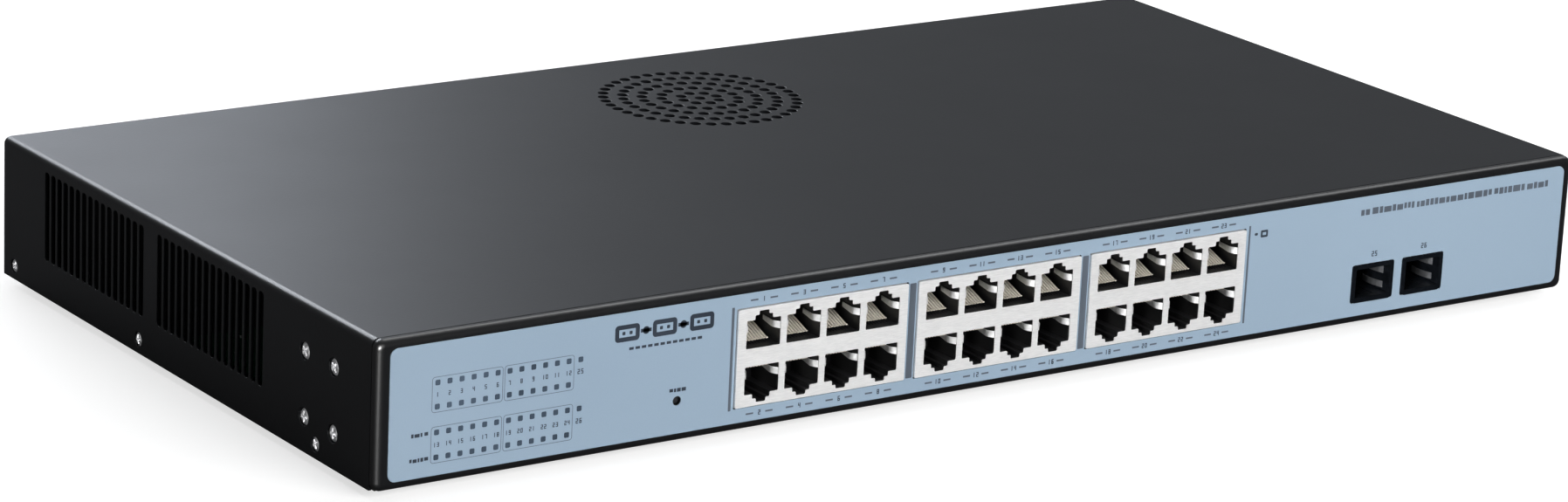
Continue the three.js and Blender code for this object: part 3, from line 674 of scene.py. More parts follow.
def pan_block(inset, front, back):
    """Block with a rounded front rim, inset from the casing's outline."""
    radius = BEND - inset
    rings = []

    def add_ring(y, margin):
        outline = round_rect(around(0, SIDE - margin), grown((0, HEIGHT), -margin),
                             radius + 0.5 - (margin - inset), 6)
        rings.append([(x, y, z) for x, z in outline])

    for k in range(7):
        angle = math.pi / 2 * k / 6
        add_ring(front + radius * (1 - math.cos(angle)), inset + radius * (1 - math.sin(angle)))
    add_ring(back, inset)
    return loft(rings)


def tray_cuts():
    cuts = front_openings((FRONT - 1, FRONT + 2), jack_gap=0.5, jack_radius=0.5, cage_half=8.7,
                          cage_z=(6.9, 19.5), cage_steps=3, reset_segments=28)
    for z in LAMP_ROWS:
        slot = round_rect(grown((LAMP_X, LAMP_END_X), 2), around(z, 1.2), 1.1, 4)
        cuts.append(prism(slot, "y", (FRONT - 1, FRONT + 2)))
    rear_span = (REAR - 2, REAR + 1)
    for x, half_width, half_height in ((INLET_X, 13.8, 10.3), (ROCKER_X, 6.8, 9.8)):
        hole = round_rect(around(x, half_width), around(REAR_Z, half_height), 0.6, 3)
        cuts.append(prism(hole, "y", rear_span))
    cuts.append(prism(circle(GROUND_X, GROUND_Z, 2.25, 24), "y", rear_span))
    for side, sign in SIDES:
        x_span = wall_span(sign, TRAY_SIDE, inward=2, outward=1)
        cuts += screw_holes(side, x_span, {"cover": 1.6, "ear": 1.85}, 20)
    return cuts


def build_tray():
    flange_z = (TRAY_TOP - SHEET, TRAY_TOP)
    ob = new_mesh("chassis_shell", [pan_block(0, FRONT, FRONT + 3)])
    cut(ob, pan_block(SHEET, FRONT + SHEET, FRONT + 8))
    join(ob, block(around(0, TRAY_SIDE), (FRONT + 2.5, REAR), (0, SHEET)))
    join(ob, prism(REAR_WALL, "y", (REAR - SHEET, REAR)))
    join(ob, block(around(0, TRAY_SIDE - 2), (REAR - 11, REAR - 0.5), flange_z))
    join(ob, block(around(0, SIDE - 6), (FRONT + 0.6, FRONT + 11), flange_z))
    for _, sign in SIDES:
        join(ob, prism(SIDE_LIP, "x", wall_span(sign, TRAY_SIDE, inward=SHEET, outward=0)))
    join(ob, *[lathe(POST_PROFILE, 20, "z", (x, y, 0)) for x, y in POSTS])
    cut(ob, *tray_cuts())
    bevel(ob, 0.12)
    smooth(ob, 20)
    piece(ob, "casing_paint", TRAY_PAINT, "chassis_tray")


# ---------------------------------------------------------------- printed film and its marks
FILM_BOX = node_box("front_overlay")
INK_FRONT, INK_BACK = FILM_BOX.y[0] - 0.03, FILM_BOX.y[0] + 0.02
INK_SPAN = (INK_FRONT, INK_BACK)
# Strokes of a seven-segment numeral; "1" is drawn as one centred bar.
STROKES = {"0": "abcdef", "2": "abged", "3": "abgcd", "4": "fgbc", "5": "afgcd", "6": "afgedc",
           "7": "abc", "8": "abcdefg", "9": "gfabcd"}


def build_film():
    ob = new_mesh("front_film", [prism(round_rect(FILM_BOX.x, FILM_BOX.z, 2.5, 10), "y",
                                       FILM_BOX.y)])
    cut(ob, *front_openings((FRONT - 2, FRONT + 1), jack_gap=0.3, jack_radius=0.4, cage_half=8.6,
                            cage_z=(7.0, 19.4), cage_steps=4, reset_segments=32))
    bevel(ob, 0.09)
    smooth(ob)
    piece(ob, "printed_film", FILM, "front_overlay")


def ink_rect(x_span, z_span, radius=0.08):
    radius = min(radius, (x_span[1] - x_span[0]) * 0.45, (z_span[1] - z_span[0]) * 0.45)
    return prism(round_rect(x_span, z_span, radius, 3), "y", INK_SPAN)


def ink_frame(x_span, z_span, width, radius):
    """Outline of a rounded rectangle as a flat ring."""
    outer = round_rect(x_span, z_span, radius, 5)
    inner = round_rect(grown(x_span, -width), grown(z_span, -width), max(radius - width, 0.05), 5)
    n = len(outer)
    verts = [(x, y, z) for y in INK_SPAN for loop in (outer, inner) for x, z in loop]
    faces = []
    for k in range(n):
        j = (k + 1) % n
        faces += [(k, j, n + j, n + k), (2 * n + k, 3 * n + k, 3 * n + j, 2 * n + j),
                  (k, 2 * n + k, 2 * n + j, j), (n + k, n + j, 3 * n + j, 3 * n + k)]
    return verts, faces


def numeral(number, centre_x, centre_z, height):
    stroke, width, gap = height * 0.17, height * 0.52, height * 0.26
    text = str(number)
    total = len(text) * width + (len(text) - 1) * gap
    z0, z1 = around(centre_z, height / 2)
    lower, upper = (z0, centre_z), (centre_z, z1)
    parts = []
    for k, digit in enumerate(text):
        x0 = centre_x - total / 2 + k * (width + gap)
        x1 = x0 + width
        if digit == "1":
            parts.append(ink_rect(around(x0 + width / 2, stroke / 2), (z0, z1)))
            continue
        left, right = (x0, x0 + stroke), (x1 - stroke, x1)
        spans = {"a": ((x0, x1), (z1 - stroke, z1)), "d": ((x0, x1), (z0, z0 + stroke)),
                 "g": ((x0, x1), around(centre_z, stroke / 2)), "f": (left, upper),
                 "b": (right, upper), "e": (left, lower), "c": (right, lower)}
        parts += [ink_rect(*spans[letter]) for letter in STROKES[digit]]
    return parts


def dash_line(x, end, z, height, seed, gap):
    """A line of unreadable small print: short dashes of mixed length."""
    rnd = random.Random(seed)
    parts = []
    while x < end - 0.6:
        width = rnd.choice((0.7, 0.9, 1.1, 1.6, 2.0)) * height / 1.4
        width = min(width, end - x)
        trim = rnd.choice((0, 0, 0.12, -0.12)) * height
        z_span = (z - height / 2 + max(0, trim), z + height / 2 + min(0, trim))
        parts.append(ink_rect((x, x + width), z_span))
        x += width + (gap if rnd.random() < 0.8 else gap * 2.2)
    return parts


def print_lamp_field():
    """Dark numbers and row labels, and grey rules, around the lamps."""
    dark, grey = [], []
    for i in range(LAMP_COLUMNS):
        x = LAMP_X + LAMP_PITCH * i
        dark += numeral(i + 1, x, 26.3, 1.35) + numeral(i + 13, x, 11.65, 1.35)
    dark += numeral(25, LAMP_END_X, 26.3, 1.5) + numeral(26, LAMP_END_X, 11.65, 1.5)
    dark += dash_line(-209.0, -203.6, z=15.3, height=1.15, seed=3, gap=0.3)
    dark += dash_line(-209.4, -203.4, z=8.0, height=1.15, seed=4, gap=0.3)
    middle = LAMP_X + LAMP_PITCH * 5.5
    for z_span in ((21.1, 31.5), (6.3, 17.0)):
        for x_span in ((LAMP_X - 1.8, middle - 0.25), (middle + 0.25, LAMP_END_X - 2.1)):
            grey.append(ink_frame(x_span, z_span, width=0.15, radius=0.9))
    return dark, grey


def print_pictogram():
    """Three linked boxes above a row of dashes."""
    centre_x, z, pitch = -126.6, 35.4, 12.6
    dark = []
    for k in (-1, 0, 1):
        x = centre_x + k * pitch
        dark.append(ink_frame(around(x, 4.1), around(z, 2.5), width=1.35, radius=1.1))
        dark.append(ink_rect((x - 1.7, x - 0.7), around(z, 0.5), 0.2))
        dark.append(ink_rect((x + 0.7, x + 1.7), around(z, 0.5), 0.2))
        if k < 1:
            dark.append(ink_rect((x + 4.5, x + 8.1), around(z, 0.55)))
            dark.append(prism(circle(x + pitch / 2, z, 1.15, 20), "y", INK_SPAN))
    dark += [ink_rect((-138.4 + 2.1 * i, -136.9 + 2.1 * i), (30.2, 31.0)) for i in range(12)]
    return dark


def print_ports():
    """Numbers flanked by ticks at each port, and grey bars beside and between the groups that
    paint the shade of the gaps there.
    """
    dark, grey = [], []
    for pair, x in enumerate(x for jack in JACKS for x in port_columns(jack)):
        dark += numeral(2 * pair + 1, x, 39.3, 1.5) + numeral(2 * pair + 2, x, 4.95, 1.5)
        for z_span in ((39.05, 39.55), (4.7, 5.2)):
            grey.append(ink_rect((x - 4.7, x - 2.1), z_span))
            grey.append(ink_rect((x + 2.1, x + 4.7), z_span))
    # grey bars between the groups: painted shade of the gaps between the jack shields
    for jack, following in zip(JACKS, JACKS[1:]):
        gap = (jack.x[1], following.x[0])
        grey.append(ink_rect(grown(gap, -0.75), grown(jack.z, -0.2), 0.3))
    # grey bars beside the outer groups: painted shade along their outer edges
    left, right = JACKS[0].x[0], JACKS[-1].x[1]
    z_span = (JACKS[0].z[0] - 0.6, JACKS[-1].z[1] + 1.0)
    grey.append(ink_rect((left - 2.1, left - 1.2), z_span, 0.2))
    grey.append(ink_rect((right + 1.2, right + 1.9), z_span, 0.2))
    # two small marks right of the last group
    dark.append(ink_rect((right + 3.6, right + 4.8), (34.5, 35.3), 0.3))
    dark.append(ink_frame((right + 6.0, right + 8.8), (33.6, 35.9), width=0.7, radius=0.4))
    return dark, grey


def build_lamps():
    """Small square windows, domed towards the front."""
    # (growth of the half width, y)
    levels = ((0.0, INK_BACK), (0.0, INK_FRONT + 0.01), (-0.07, INK_FRONT - 0.03),
              (-0.3, INK_FRONT - 0.06))
    spots = [(LAMP_X + LAMP_PITCH * i, z) for i in range(LAMP_COLUMNS) for z in LAMP_ROWS]
    spots += [(LAMP_END_X, LAMP_ROWS[0]), (LAMP_END_X, LAMP_ROWS[2])]
    lamps = []
    for lamp_x, lamp_z in spots:
        rings = []
        for growth, y in levels:
            outline = round_rect(grown(around(lamp_x, 0.8), growth),
                                 grown(around(lamp_z, 0.8), growth), 0.35 + growth * 0.6, 3)
            rings.append([(x, y, z) for x, z in outline])
        lamps.append(loft(rings))
    ob = new_mesh("lamp_windows", lamps)
    smooth(ob, 50)
    piece(ob, "clear_plastic", LAMP_WINDOW)


def build_print():
    dark, grey = print_lamp_field()
    dark += print_pictogram()
    dark += dash_line(RESET_X - 2.7, RESET_X + 2.9, z=RESET_Z + 3.3, height=1.1, seed=9, gap=0.3)
    port_dark, port_grey = print_ports()
    dark += port_dark
    grey += port_grey
    for i, cage in enumerate(CAGES):
        dark += numeral(25 + i, mid(cage.x), 22.4, 1.7)
    # line of small print, top right
    grey += dash_line(131.5, 209.5, z=36.5, height=2.1, seed=21, gap=0.5)
    piece(new_mesh("film_print_dark", dark), "printed_film", INK_DARK)
    # the grey object holds grey print and the bars of painted shade at the jack groups
    piece(new_mesh("film_print_and_painted_shade_grey", grey), "printed_film", GREY_INK_AND_PAINTED_SHADE)
    build_lamps()


# ---------------------------------------------------------------- copper jacks
# Comb rib between the contact wires, (y, z) in the upper row.
RIB_PROFILE = [(-102.2, 24.8), (-102.2, 28.2), (-106.5, 26.7), (-112.6, 25.1), (-113.2, 24.8)]
# Centre line of a sprung contact wire, (y, z) in the upper row.
WIRE_PATH = [(-98.2, 29.3), (-102.9, 29.3), (-103.6, 29.15), (-107.5, 27.75), (-111.2, 26.35),
             (-112.0, 26.12), (-112.45, 26.2)]
SHIELD_WALL = 0.35


def port_columns(jack):
    return [mid(jack.x) + (i - 1.5) * PORT_PITCH for i in range(4)]


def ports(jack):
    """(x, row) of each port; row is 1 for the upper, -1 for the lower."""
    return [(x, row) for x in port_columns(jack) for row in (1, -1)]


def in_row(z, row):
    """An upper-row height, mirrored for the lower row."""
    return z if row > 0 else 2 * ROW_MIDDLE - z


def port_outline(centre_x, row, grow=0.0, radius=0.35):
    """Port mouth: a wide opening with two narrowing steps."""
    wide, step, notch = PORT_HALF_WIDTH + grow, 3.05 + grow, 1.7 + grow
    bottom, shoulder, ledge, top = 24.8 - grow, 33.3 + grow, 34.7 + grow, 35.9 + grow
    right = [(wide, bottom), (wide, shoulder), (step, shoulder), (step, ledge), (notch, ledge),
             (notch, top)]
    left = [(-x, z) for x, z in reversed(right)]
    outline = eased(left[-1:] + right + left[:-1], radius)
    return [(centre_x + x, in_row(z, row)) for x, z in outline]


def build_jack_shield(n, jack):
    ob = new_mesh(f"jack_skin_{n}", [prism(round_rect(jack.x, jack.z, 0.5, 4), "y", jack.y)])
    cut(ob, block(grown(jack.x, -SHIELD_WALL), grown(jack.y, -SHIELD_WALL),
                  (jack.z[0] - 1, jack.z[1] - SHIELD_WALL)))
    cut(ob, *[prism(port_outline(x, row), "y", around(jack.y[0], 1)) for x, row in ports(jack)])
    bevel(ob, 0.1)
    smooth(ob)
    piece(ob, "tinned_steel", TIN, f"jack_shield_{n}")


def jack_spring(jack, port_x, row, sign):
    """Thin tapering strip that bows into a port from one side wall."""
    length, thickness, bow, bow_at = 8.6, 0.22, 1.35, 0.3
    spring_z = 30.7 if row > 0 else 16.8
    rings = []
    for t in fractions(12):
        if t < bow_at:
            inward = 0.1 + 1.25 * math.sin(math.pi / 2 * t / bow_at)
        else:
            inward = bow - 1.1 * (t - bow_at) / 0.7
        x = port_x + sign * (PORT_HALF_WIDTH - 0.02 - inward)
        y = jack.y[0] + 0.1 + length * t
        rings.append(section(y, (x, x - sign * thickness), around(spring_z, 1.05 - 0.35 * t)))
    return loft(rings)


def build_jack_springs(n, jack):
    ob = new_mesh(f"jack_springs_{n}", [jack_spring(jack, x, row, sign)
                                        for x, row in ports(jack) for sign in (-1, 1)])
    smooth(ob, 50)
    piece(ob, "tinned_steel", SPRING_TIN)


def build_jack_housing(n, jack):
    ob = new_mesh(f"jack_body_{n}", [block(*node_box(f"jack_housing_{n}"))])
    cut(ob, *[prism(port_outline(x, row, grow=-0.1, radius=0.25), "y", (-120, -102))
              for x, row in ports(jack)])
    # a slot behind each port for the wires, then comb ribs between them
    cut(ob, *[block(around(x, 4.9), (-102.5, -98), sorted((in_row(28.5, row), in_row(30.1, row))))
              for x, row in ports(jack)])
    ribs = []
    for x, row in ports(jack):
        profile = [(y, in_row(z, row)) for y, z in RIB_PROFILE]
        ribs += [prism(profile, "x", around(x + (k - 4) * CONTACT_PITCH, 0.11)) for k in range(9)]
    join(ob, *ribs)
    smooth(ob)
    piece(ob, "black_plastic", JACK_PLASTIC, f"jack_housing_{n}")


def build_jack_contacts(n, jack):
    """Eight sprung wires per port on an upright plate."""
    half_width, half_thickness = 0.34, 0.15
    parts = [block(around(mid(jack.x), 27.5), (-98.4, -97.2), (7.3, 36))]
    for port_x, row in ports(jack):
        for k in range(8):
            x_span = around(port_x + (k - 3.5) * CONTACT_PITCH, half_width)
            parts.append(loft([section(y, x_span, around(in_row(z, row), half_thickness))
                               for y, z in WIRE_PATH]))
    ob = new_mesh(f"jack_wires_{n}", parts)
    smooth(ob, 40)
    piece(ob, "gold_contacts", GOLD, f"jack_contacts_{n}")


def build_jacks():
    for n, jack in enumerate(JACKS, 1):
        build_jack_shield(n, jack)
        build_jack_springs(n, jack)
        build_jack_housing(n, jack)
        build_jack_contacts(n, jack)


# ---------------------------------------------------------------- module cages
CAGE_INNER = 6.9  # half the width of the bore
CAGE_MOUTH = 8.3  # half the width of the front rim
CAGE_MID_Z = 13.2


def build_cage_shell(n, cage):
    centre, below, back = mid(cage.x), cage.z[0] - 1, cage.y[1]
    bore_x, bore_back = around(centre, CAGE_INNER), back - 0.35
    ob = new_mesh(f"module_shell_{n}", [
        prism(round_rect(around(centre, 7.25), (cage.z[0], 18.2), 0.4, 3), "y",
              (FRONT - 0.6, back))])
    join(ob, prism(round_rect(around(centre, CAGE_MOUTH), (7.3, 19.1), 0.7, 4), "y",
                   around(FRONT, 0.6)))
    cut(ob, prism(round_rect(bore_x, (8.65, 17.85), 0.3, 3), "y", (FRONT - 3, bore_back)))
    cut(ob, block(bore_x, (FRONT + 3, bore_back), (below, 8.3)))
    cut(ob, block(bore_x, (-82, bore_back), (below, 9.3)))
    # vent holes in the roof, and two slits that free a latch tab in the floor
    cuts = [prism(circle(centre + i * 3.4, -105 + j * 5.5, 0.9, 12), "z", (17, 20))
            for i in (-1, 0, 1) for j in range(6)]
    for x_span in ((centre - 2.6, centre - 2.2), (centre + 2.2, centre + 2.6)):
        cuts.append(block(x_span, (-113, -104), (8, 9)))
    cut(ob, *cuts)
    bevel(ob, 0.08)
    smooth(ob)
    piece(ob, "tinned_steel", CAGE_STEEL_PAINTED_SHADE, f"module_cage_{n}")


def cage_finger(x_span, z_span, bow_x=0.0, bow_z=0.0):
    """Grounding finger at the mouth, bowed outwards at mid length."""
    rings = []
    for t in fractions(6):
        bow = math.sin(math.pi * t)
        x_shift, z_shift = bow_x * bow, bow_z * bow
        rings.append(section(FRONT - 0.55 + 3.6 * t, grown_by_shift(x_span, x_shift),
                             grown_by_shift(z_span, z_shift)))
    return loft(rings)


def grown_by_shift(span, shift):
    """The span moved along by the shift."""
    return span[0] + shift, span[1] + shift


def build_cage_fingers(n, cage):
    centre = mid(cage.x)
    fingers = [cage_finger(around(centre + (k - 2.5) * 2.5, 0.85),
                           around(CAGE_MID_Z + sign * 5.95, 0.09), bow_z=sign * 0.28)
               for k in range(6) for sign in (-1, 1)]
    fingers += [cage_finger(around(centre + sign * CAGE_MOUTH, 0.08),
                            around(CAGE_MID_Z + (k - 1) * 3.2, 1.1), bow_x=sign * 0.22)
                for k in range(3) for sign in (-1, 1)]
    ob = new_mesh(f"module_fingers_{n}", fingers)
    smooth(ob, 40)
    piece(ob, "tinned_steel", CAGE_STEEL_PAINTED_SHADE)


def build_cage_springs(n, cage):
    """Two tabs bowed inwards on each side wall."""
    front, length, thickness = -112.5, 9.5, 0.18
    tabs = []
    for sign in (-1, 1):
        for z_span in ((9.6, 11.6), (14.3, 16.6)):
            rings = []
            for t in fractions(10):
                bow = 0.08 + 0.75 * math.sin(math.pi * t) ** 0.8
                x = mid(cage.x) + sign * (CAGE_INNER - bow)
                rings.append(section(front + length * t, (x, x + sign * thickness), z_span))
            tabs.append(loft(rings))
    ob = new_mesh(f"module_side_springs_{n}", tabs)
    smooth(ob, 40)
    piece(ob, "tinned_steel", TAB_STEEL)


def build_cage_connector(n, cage):
    """Edge connector: a slot with grooves above and below it."""
    centre = mid(cage.x)
    ob = new_mesh(f"module_plug_{n}", [block(*node_box(f"module_connector_{n}"))])
    cut(ob, block(around(centre, 5), (-78, -71.5), (11, 12.3)))
    cut(ob, *[block(around(centre - 4.6 + 0.92 * k, 0.2), (-76.9, -71.6), (z, z + 0.5))
              for k in range(11) for z in (10.6, 12.2)])
    bevel(ob, 0.12)
    smooth(ob)
    piece(ob, "black_plastic", BLACK_PLASTIC, f"module_connector_{n}")


def build_cages():
    for n, cage in enumerate(CAGES, 1):
        build_cage_shell(n, cage)
        build_cage_fingers(n, cage)
        build_cage_springs(n, cage)
        build_cage_connector(n, cage)


# ---------------------------------------------------------------- screws, nuts and feet
SCREW_SEAT_X = 218.9
RECESS_DEPTH = 0.7
# Domed head, (fraction of the head radius, fraction of its height).
HEAD_DOME = [(1, 0.22), (0.975, 0.4), (0.9, 0.6), (0.78, 0.77), (0.62, 0.89), (0.42, 0.965),
             (0.2, 0.995), (0, 1)]
# Rubber foot, (radius, z).
FOOT_PROFILE = [(0, -2.15), (2.4, -2.15), (3.0, -2.2), (3.4, -2.42), (3.8, -2.5), (4.9, -2.5),
                (5.35, -2.4), (5.6, -2.1), (6.3, -0.4), (6.45, -0.12), (6.4, -0.05), (0, -0.05)]


def screw_profile(head_radius, head_height, shank_radius, tip):
    """(radius, z) from the tip at -tip, up a ribbed shank, to the head above z = 0."""
    profile = [(0, -tip), (shank_radius * 0.75, -tip), (shank_radius, -tip + 0.5)]
    z = -tip + 0.6
    while z < -0.35:
        profile += [(shank_radius, z), (shank_radius * 0.86, z + 0.2)]
        z += 0.4
    profile += [(shank_radius, -0.05), (shank_radius, 0)]
    profile += [(head_radius - 0.12, 0), (head_radius, 0.12)]
    return profile + [(head_radius * r, head_height * h) for r, h in HEAD_DOME]


def cross_recess(head_radius, head_height):
    """The two tapered arms of a cross, to cut from the head one at a time."""
    arms = []
    for crossed in (False, True):
        rings = []
        # half length and half width as fractions of the head radius, then z
        for length, width, z in ((0.30, 0.10, head_height - RECESS_DEPTH),
                                 (0.775, 0.20, head_height + 0.02),
                                 (0.775, 0.20, head_height + 0.4)):
            x, y = head_radius * length, head_radius * width
            quad = [(-x, -y), (x, -y), (x, y), (-x, y)]
            if crossed:
                quad = [(-v, u) for u, v in quad]
            rings.append([(u, v, z) for u, v in quad])
        arms.append(loft(rings))
    return arms


def build_screw(name, node, axis, head_radius, head_height, shank_radius, seat, tip, turn):
    """Screw on the CAD one's axis, head underside at seat, turned about it by turn radians."""
    place = list(centre_of(node))
    place[1 if axis == "y" else 0] = seat
    spin = Matrix.Rotation(turn, 3, "Z")

    def placed(part):
        verts, faces = part
        return [tuple(TURNS[axis] @ (spin @ Vector(v)) + Vector(place)) for v in verts], faces

    profile = screw_profile(head_radius, head_height, shank_radius, tip)
    ob = new_mesh(name, [placed(lathe(profile, 28, "z", (0, 0, 0)))])
    for arm in cross_recess(head_radius, head_height):
        cut(ob, placed(arm))
    smooth(ob, 38)
    piece(ob, "plated_steel", SCREW_ZINC, node)


def build_screws():
    rnd = random.Random(7)
    # kind, new name, head radius, shank radius, tip depth
    for kind, new_name, head, shank, tip in (("cover", "side", 2.1, 1.2, 4.5),
                                             ("ear", "bracket", 2.5, 1.45, 5.5)):
        for side, sign in SIDES:
            for i in range(1, SCREW_COUNTS[kind] + 1):
                build_screw(f"{new_name}_screw_{side}_{i}", f"{kind}_screw_{side}_{i}",
                            axis="x" if sign > 0 else "-x", head_radius=head, head_height=1.0,
                            shank_radius=shank, seat=sign * SCREW_SEAT_X, tip=tip,
                            turn=rnd.uniform(0, 1.5))
    build_screw("earth_screw", "ground_screw", axis="y", head_radius=3.8, head_height=2.2,
                shank_radius=1.85, seat=REAR + 0.05, tip=6.0, turn=0.5)


def build_nuts():
    for i in range(1, 5):
        nut = node_box(f"fan_nut_{i}")
        x, y = mid(nut.x), mid(nut.y)
        ob = new_mesh(f"stud_nut_{i}", [prism(circle(x, y, 3.17, 6, turn=0.5), "z", nut.z)])
        cut(ob, prism(circle(x, y, 1.7, 20), "z", grown(nut.z, 1)))
        bevel(ob, 0.22, angle=35)
        smooth(ob)
        piece(ob, "plated_steel", ZINC, f"fan_nut_{i}")


def build_feet():
    for i in range(1, 5):
        x, y, _ = centre_of(f"rubber_foot_{i}")
        ob = new_mesh(f"foot_pad_{i}", [lathe(FOOT_PROFILE, 40, "z", (x, y, 0))])
        smooth(ob, 45)
        piece(ob, "foot_rubber", RUBBER, f"rubber_foot_{i}")


def build_reset():
    front, back = node_box("reset_button").y
    radius, length = 0.97, back - front
    profile = [(0, 0), (0.62, 0), (0.85, 0.1), (radius, 0.34), (radius, length), (0, length)]
    ob = new_mesh("reset_plunger", [lathe(profile, 28, "y", (RESET_X, front, RESET_Z))])
    smooth(ob, 45)
    piece(ob, "black_plastic", BLACK_PLASTIC, "reset_button", body="reset_button")


# ---------------------------------------------------------------- rear: inlet and rocker
FLANGE_Y = (REAR + 0.05, REAR + 2.2)
INLET_PINS = ((-7, -2), (7, -2), (0, 2))  # (x, z) from the inlet's centre
# Inlet well, (x, z) from the inlet's centre: a rectangle with cut-off upper corners.
WELL = [(-12, -8.2), (12, -8.2), (12, 3.6), (7.6, 8.2), (-7.6, 8.2), (-12, 3.6)]
ROCKER_PIVOT_Y, ROCKER_TILT = 112.3, math.radians(9)
# Level rocker, (outward, up) from its pivot: a dished face with raised lips.
ROCKER_PROFILE = [
    (-5, -3), (-5, 3), (0.5, 7.4), (5.1, 7.35), (5.7, 7.1), (5.95, 6.6), (5.5, 5.0), (4.9, 2.6),
    (4.5, 0.8), (4.4, 0), (4.5, -0.8), (4.9, -2.6), (5.5, -5.0), (5.95, -6.6), (5.7, -7.1),
    (5.1, -7.35), (0.5, -7.4)]
# Half of the dished face, (distance from the middle, outward).
ROCKER_FACE = [(0, 4.4), (0.8, 4.5), (2.6, 4.9), (5.0, 5.5), (6.6, 5.95)]


def build_inlet():
    ob = new_mesh("inlet_body", [prism(round_rect(around(INLET_X, 15.5), around(REAR_Z, 12.2), 3),
                                       "y", FLANGE_Y)])
    bevel(ob, 0.5, segments=3)
    join(ob, block(around(INLET_X, 13.5), (94, REAR + 0.6), around(REAR_Z, 10)))
    well = eased([(INLET_X + x, REAR_Z + z) for x, z in WELL], 0.9)
    cut(ob, prism(well, "y", (99, REAR + 4)))
    bevel(ob, 0.15)
    smooth(ob)
    piece(ob, "black_plastic", BLACK_PLASTIC, "power_inlet")


def build_inlet_blades():
    """Flat tabs behind the inlet, and upright pins in its well."""
    parts = []
    for half_width, y_span, half_height in ((2.4, (87, 95), 0.4), (1, (98, REAR - 2.5), 2)):
        parts += [block(around(INLET_X + x, half_width), y_span,
                        around(REAR_Z + z, half_height)) for x, z in INLET_PINS]
    ob = new_mesh("inlet_blades", parts)
    bevel(ob, 0.35, segments=3)
    smooth(ob)
    piece(ob, "plated_steel", ZINC)


def build_rocker_bezel():
    outline = round_rect(around(ROCKER_X, 7.5), around(REAR_Z, 10.5), 1.2, 5)
    ob = new_mesh("rocker_bezel", [prism(outline, "y", FLANGE_Y)])
    bevel(ob, 0.45, segments=3)
    join(ob, block(around(ROCKER_X, 6.5), (97, REAR + 0.6), around(REAR_Z, 9.5)))
    cut(ob, block(around(ROCKER_X, 5.3), (104, REAR + 4), around(REAR_Z, 8.4)))
    join(ob, *[block(around(ROCKER_X, 2.4), (90, 97.6), around(REAR_Z + z, 0.4))
               for z in (-5, 5)])
    bevel(ob, 0.12)
    smooth(ob)
    piece(ob, "black_plastic", BLACK_PLASTIC, "rocker_frame")


def tilted(out, up):
    """(y, z) of a point on the tilted rocker."""
    cos, sin = math.cos(ROCKER_TILT), math.sin(ROCKER_TILT)
    return ROCKER_PIVOT_Y + out * cos - up * sin, REAR_Z + out * sin + up * cos


def build_rocker():
    profile = [tilted(out, up) for out, up in ROCKER_PROFILE]
    ob = new_mesh("rocker_lever", [prism(profile, "x", around(ROCKER_X, 4.9))])
    bevel(ob, 0.25, segments=3)
    smooth(ob)
    piece(ob, "black_plastic", ROCKER_PLASTIC, "power_rocker", body="power_rocker")


def on_face(x, up, lift):
    """A point lifted off the rocker's dished face."""
    distance = abs(up)
    for (d0, out0), (d1, out1) in zip(ROCKER_FACE, ROCKER_FACE[1:]):
        if distance <= d1:
            out = out0 + (out1 - out0) * (distance - d0) / (d1 - d0)
            break
    return (x, *tilted(out + lift, up))


def build_rocker_marks():
    """"On" bar on the lower half and "off" ring on the upper half, slightly raised."""
    lift, half_width, ring_up, segments = 0.05, 0.28, 3.7, 28
    left, right = around(ROCKER_X, half_width)
    corners = ((left, -lift), (left, lift), (right, lift), (right, -lift))
    bar = loft([[on_face(x, up, offset) for x, offset in corners]
                for up in (-2.6, -3.3, -4.0, -4.7)])
    # (radius, lift) around the ring's cross-section
    loops = ((0.95, lift), (1.45, lift), (1.45, -lift), (0.95, -lift))
    verts = [on_face(x, up, offset) for radius, offset in loops
             for x, up in circle(ROCKER_X, ring_up, radius, segments)]
    faces = []
    for k in range(segments):
        j = (k + 1) % segments
        for i in range(4):
            this, following = i * segments, (i + 1) % 4 * segments
            faces.append((this + k, this + j, following + j, following + k))
    ob = new_mesh("rocker_marks", [bar, (verts, faces)])
    piece(ob, "black_plastic", INK_WHITE, body="power_rocker")


# ---------------------------------------------------------------- inside
# CAD pieces kept as they are: node, material, bevel width in mm, segments, angle in degrees.
KEPT = [
    ("main_board", BOARD, 0.1, 2, 40),
    ("psu_board", BOARD, 0.1, 2, 40),
    ("switch_chip", CHIP_EPOXY, 0.12, 2, 40),
    ("phy_chip_1", CHIP_EPOXY, 0.12, 2, 40),
    ("phy_chip_2", CHIP_EPOXY, 0.12, 2, 40),
    ("chip_heatsink", ALUMINIUM, 0.2, 2, 40),
    ("psu_heatsink", ALUMINIUM, 0.2, 2, 40),
    ("reset_switch_body", BLACK_PLASTIC, 0.2, 2, 40),
    ("psu_transformer", TAPE, 0.6, 3, 40),
    ("psu_capacitor", CAPACITOR, 0.3, 3, 30),
    ("emi_choke", COPPER, 0.4, 3, 20),
    ("led_light_guide", CLEAR, 0.2, 2, 40),
    ("fan_frame", FAN_PLASTIC, 0.3, 2, 30),
    ("fan_rotor", FAN_PLASTIC, 0.15, 2, 40),
    ("mains_harness", CABLE_SLEEVE, 0.3, 2, 45),
    ("board_power_harness", CABLE_SLEEVE, 0.3, 2, 45),
    ("fan_cable", CABLE_SLEEVE, 0.3, 2, 45),
]


def finish_inside():
    """Gives the kept pieces their materials and eased edges."""
    for node, material, width, segments, angle in KEPT:
        ob = NODES[node]
        ob.data.materials.clear()
        ob.data.materials.append(material)
        weld = ob.modifiers.new("weld", "WELD")
        weld.merge_threshold = 0.00001
        flat = ob.modifiers.new("flat", "DECIMATE")
        flat.decimate_type = "DISSOLVE"
        flat.angle_limit = math.radians(1.0)
        add_bevel(ob, width, segments, angle)


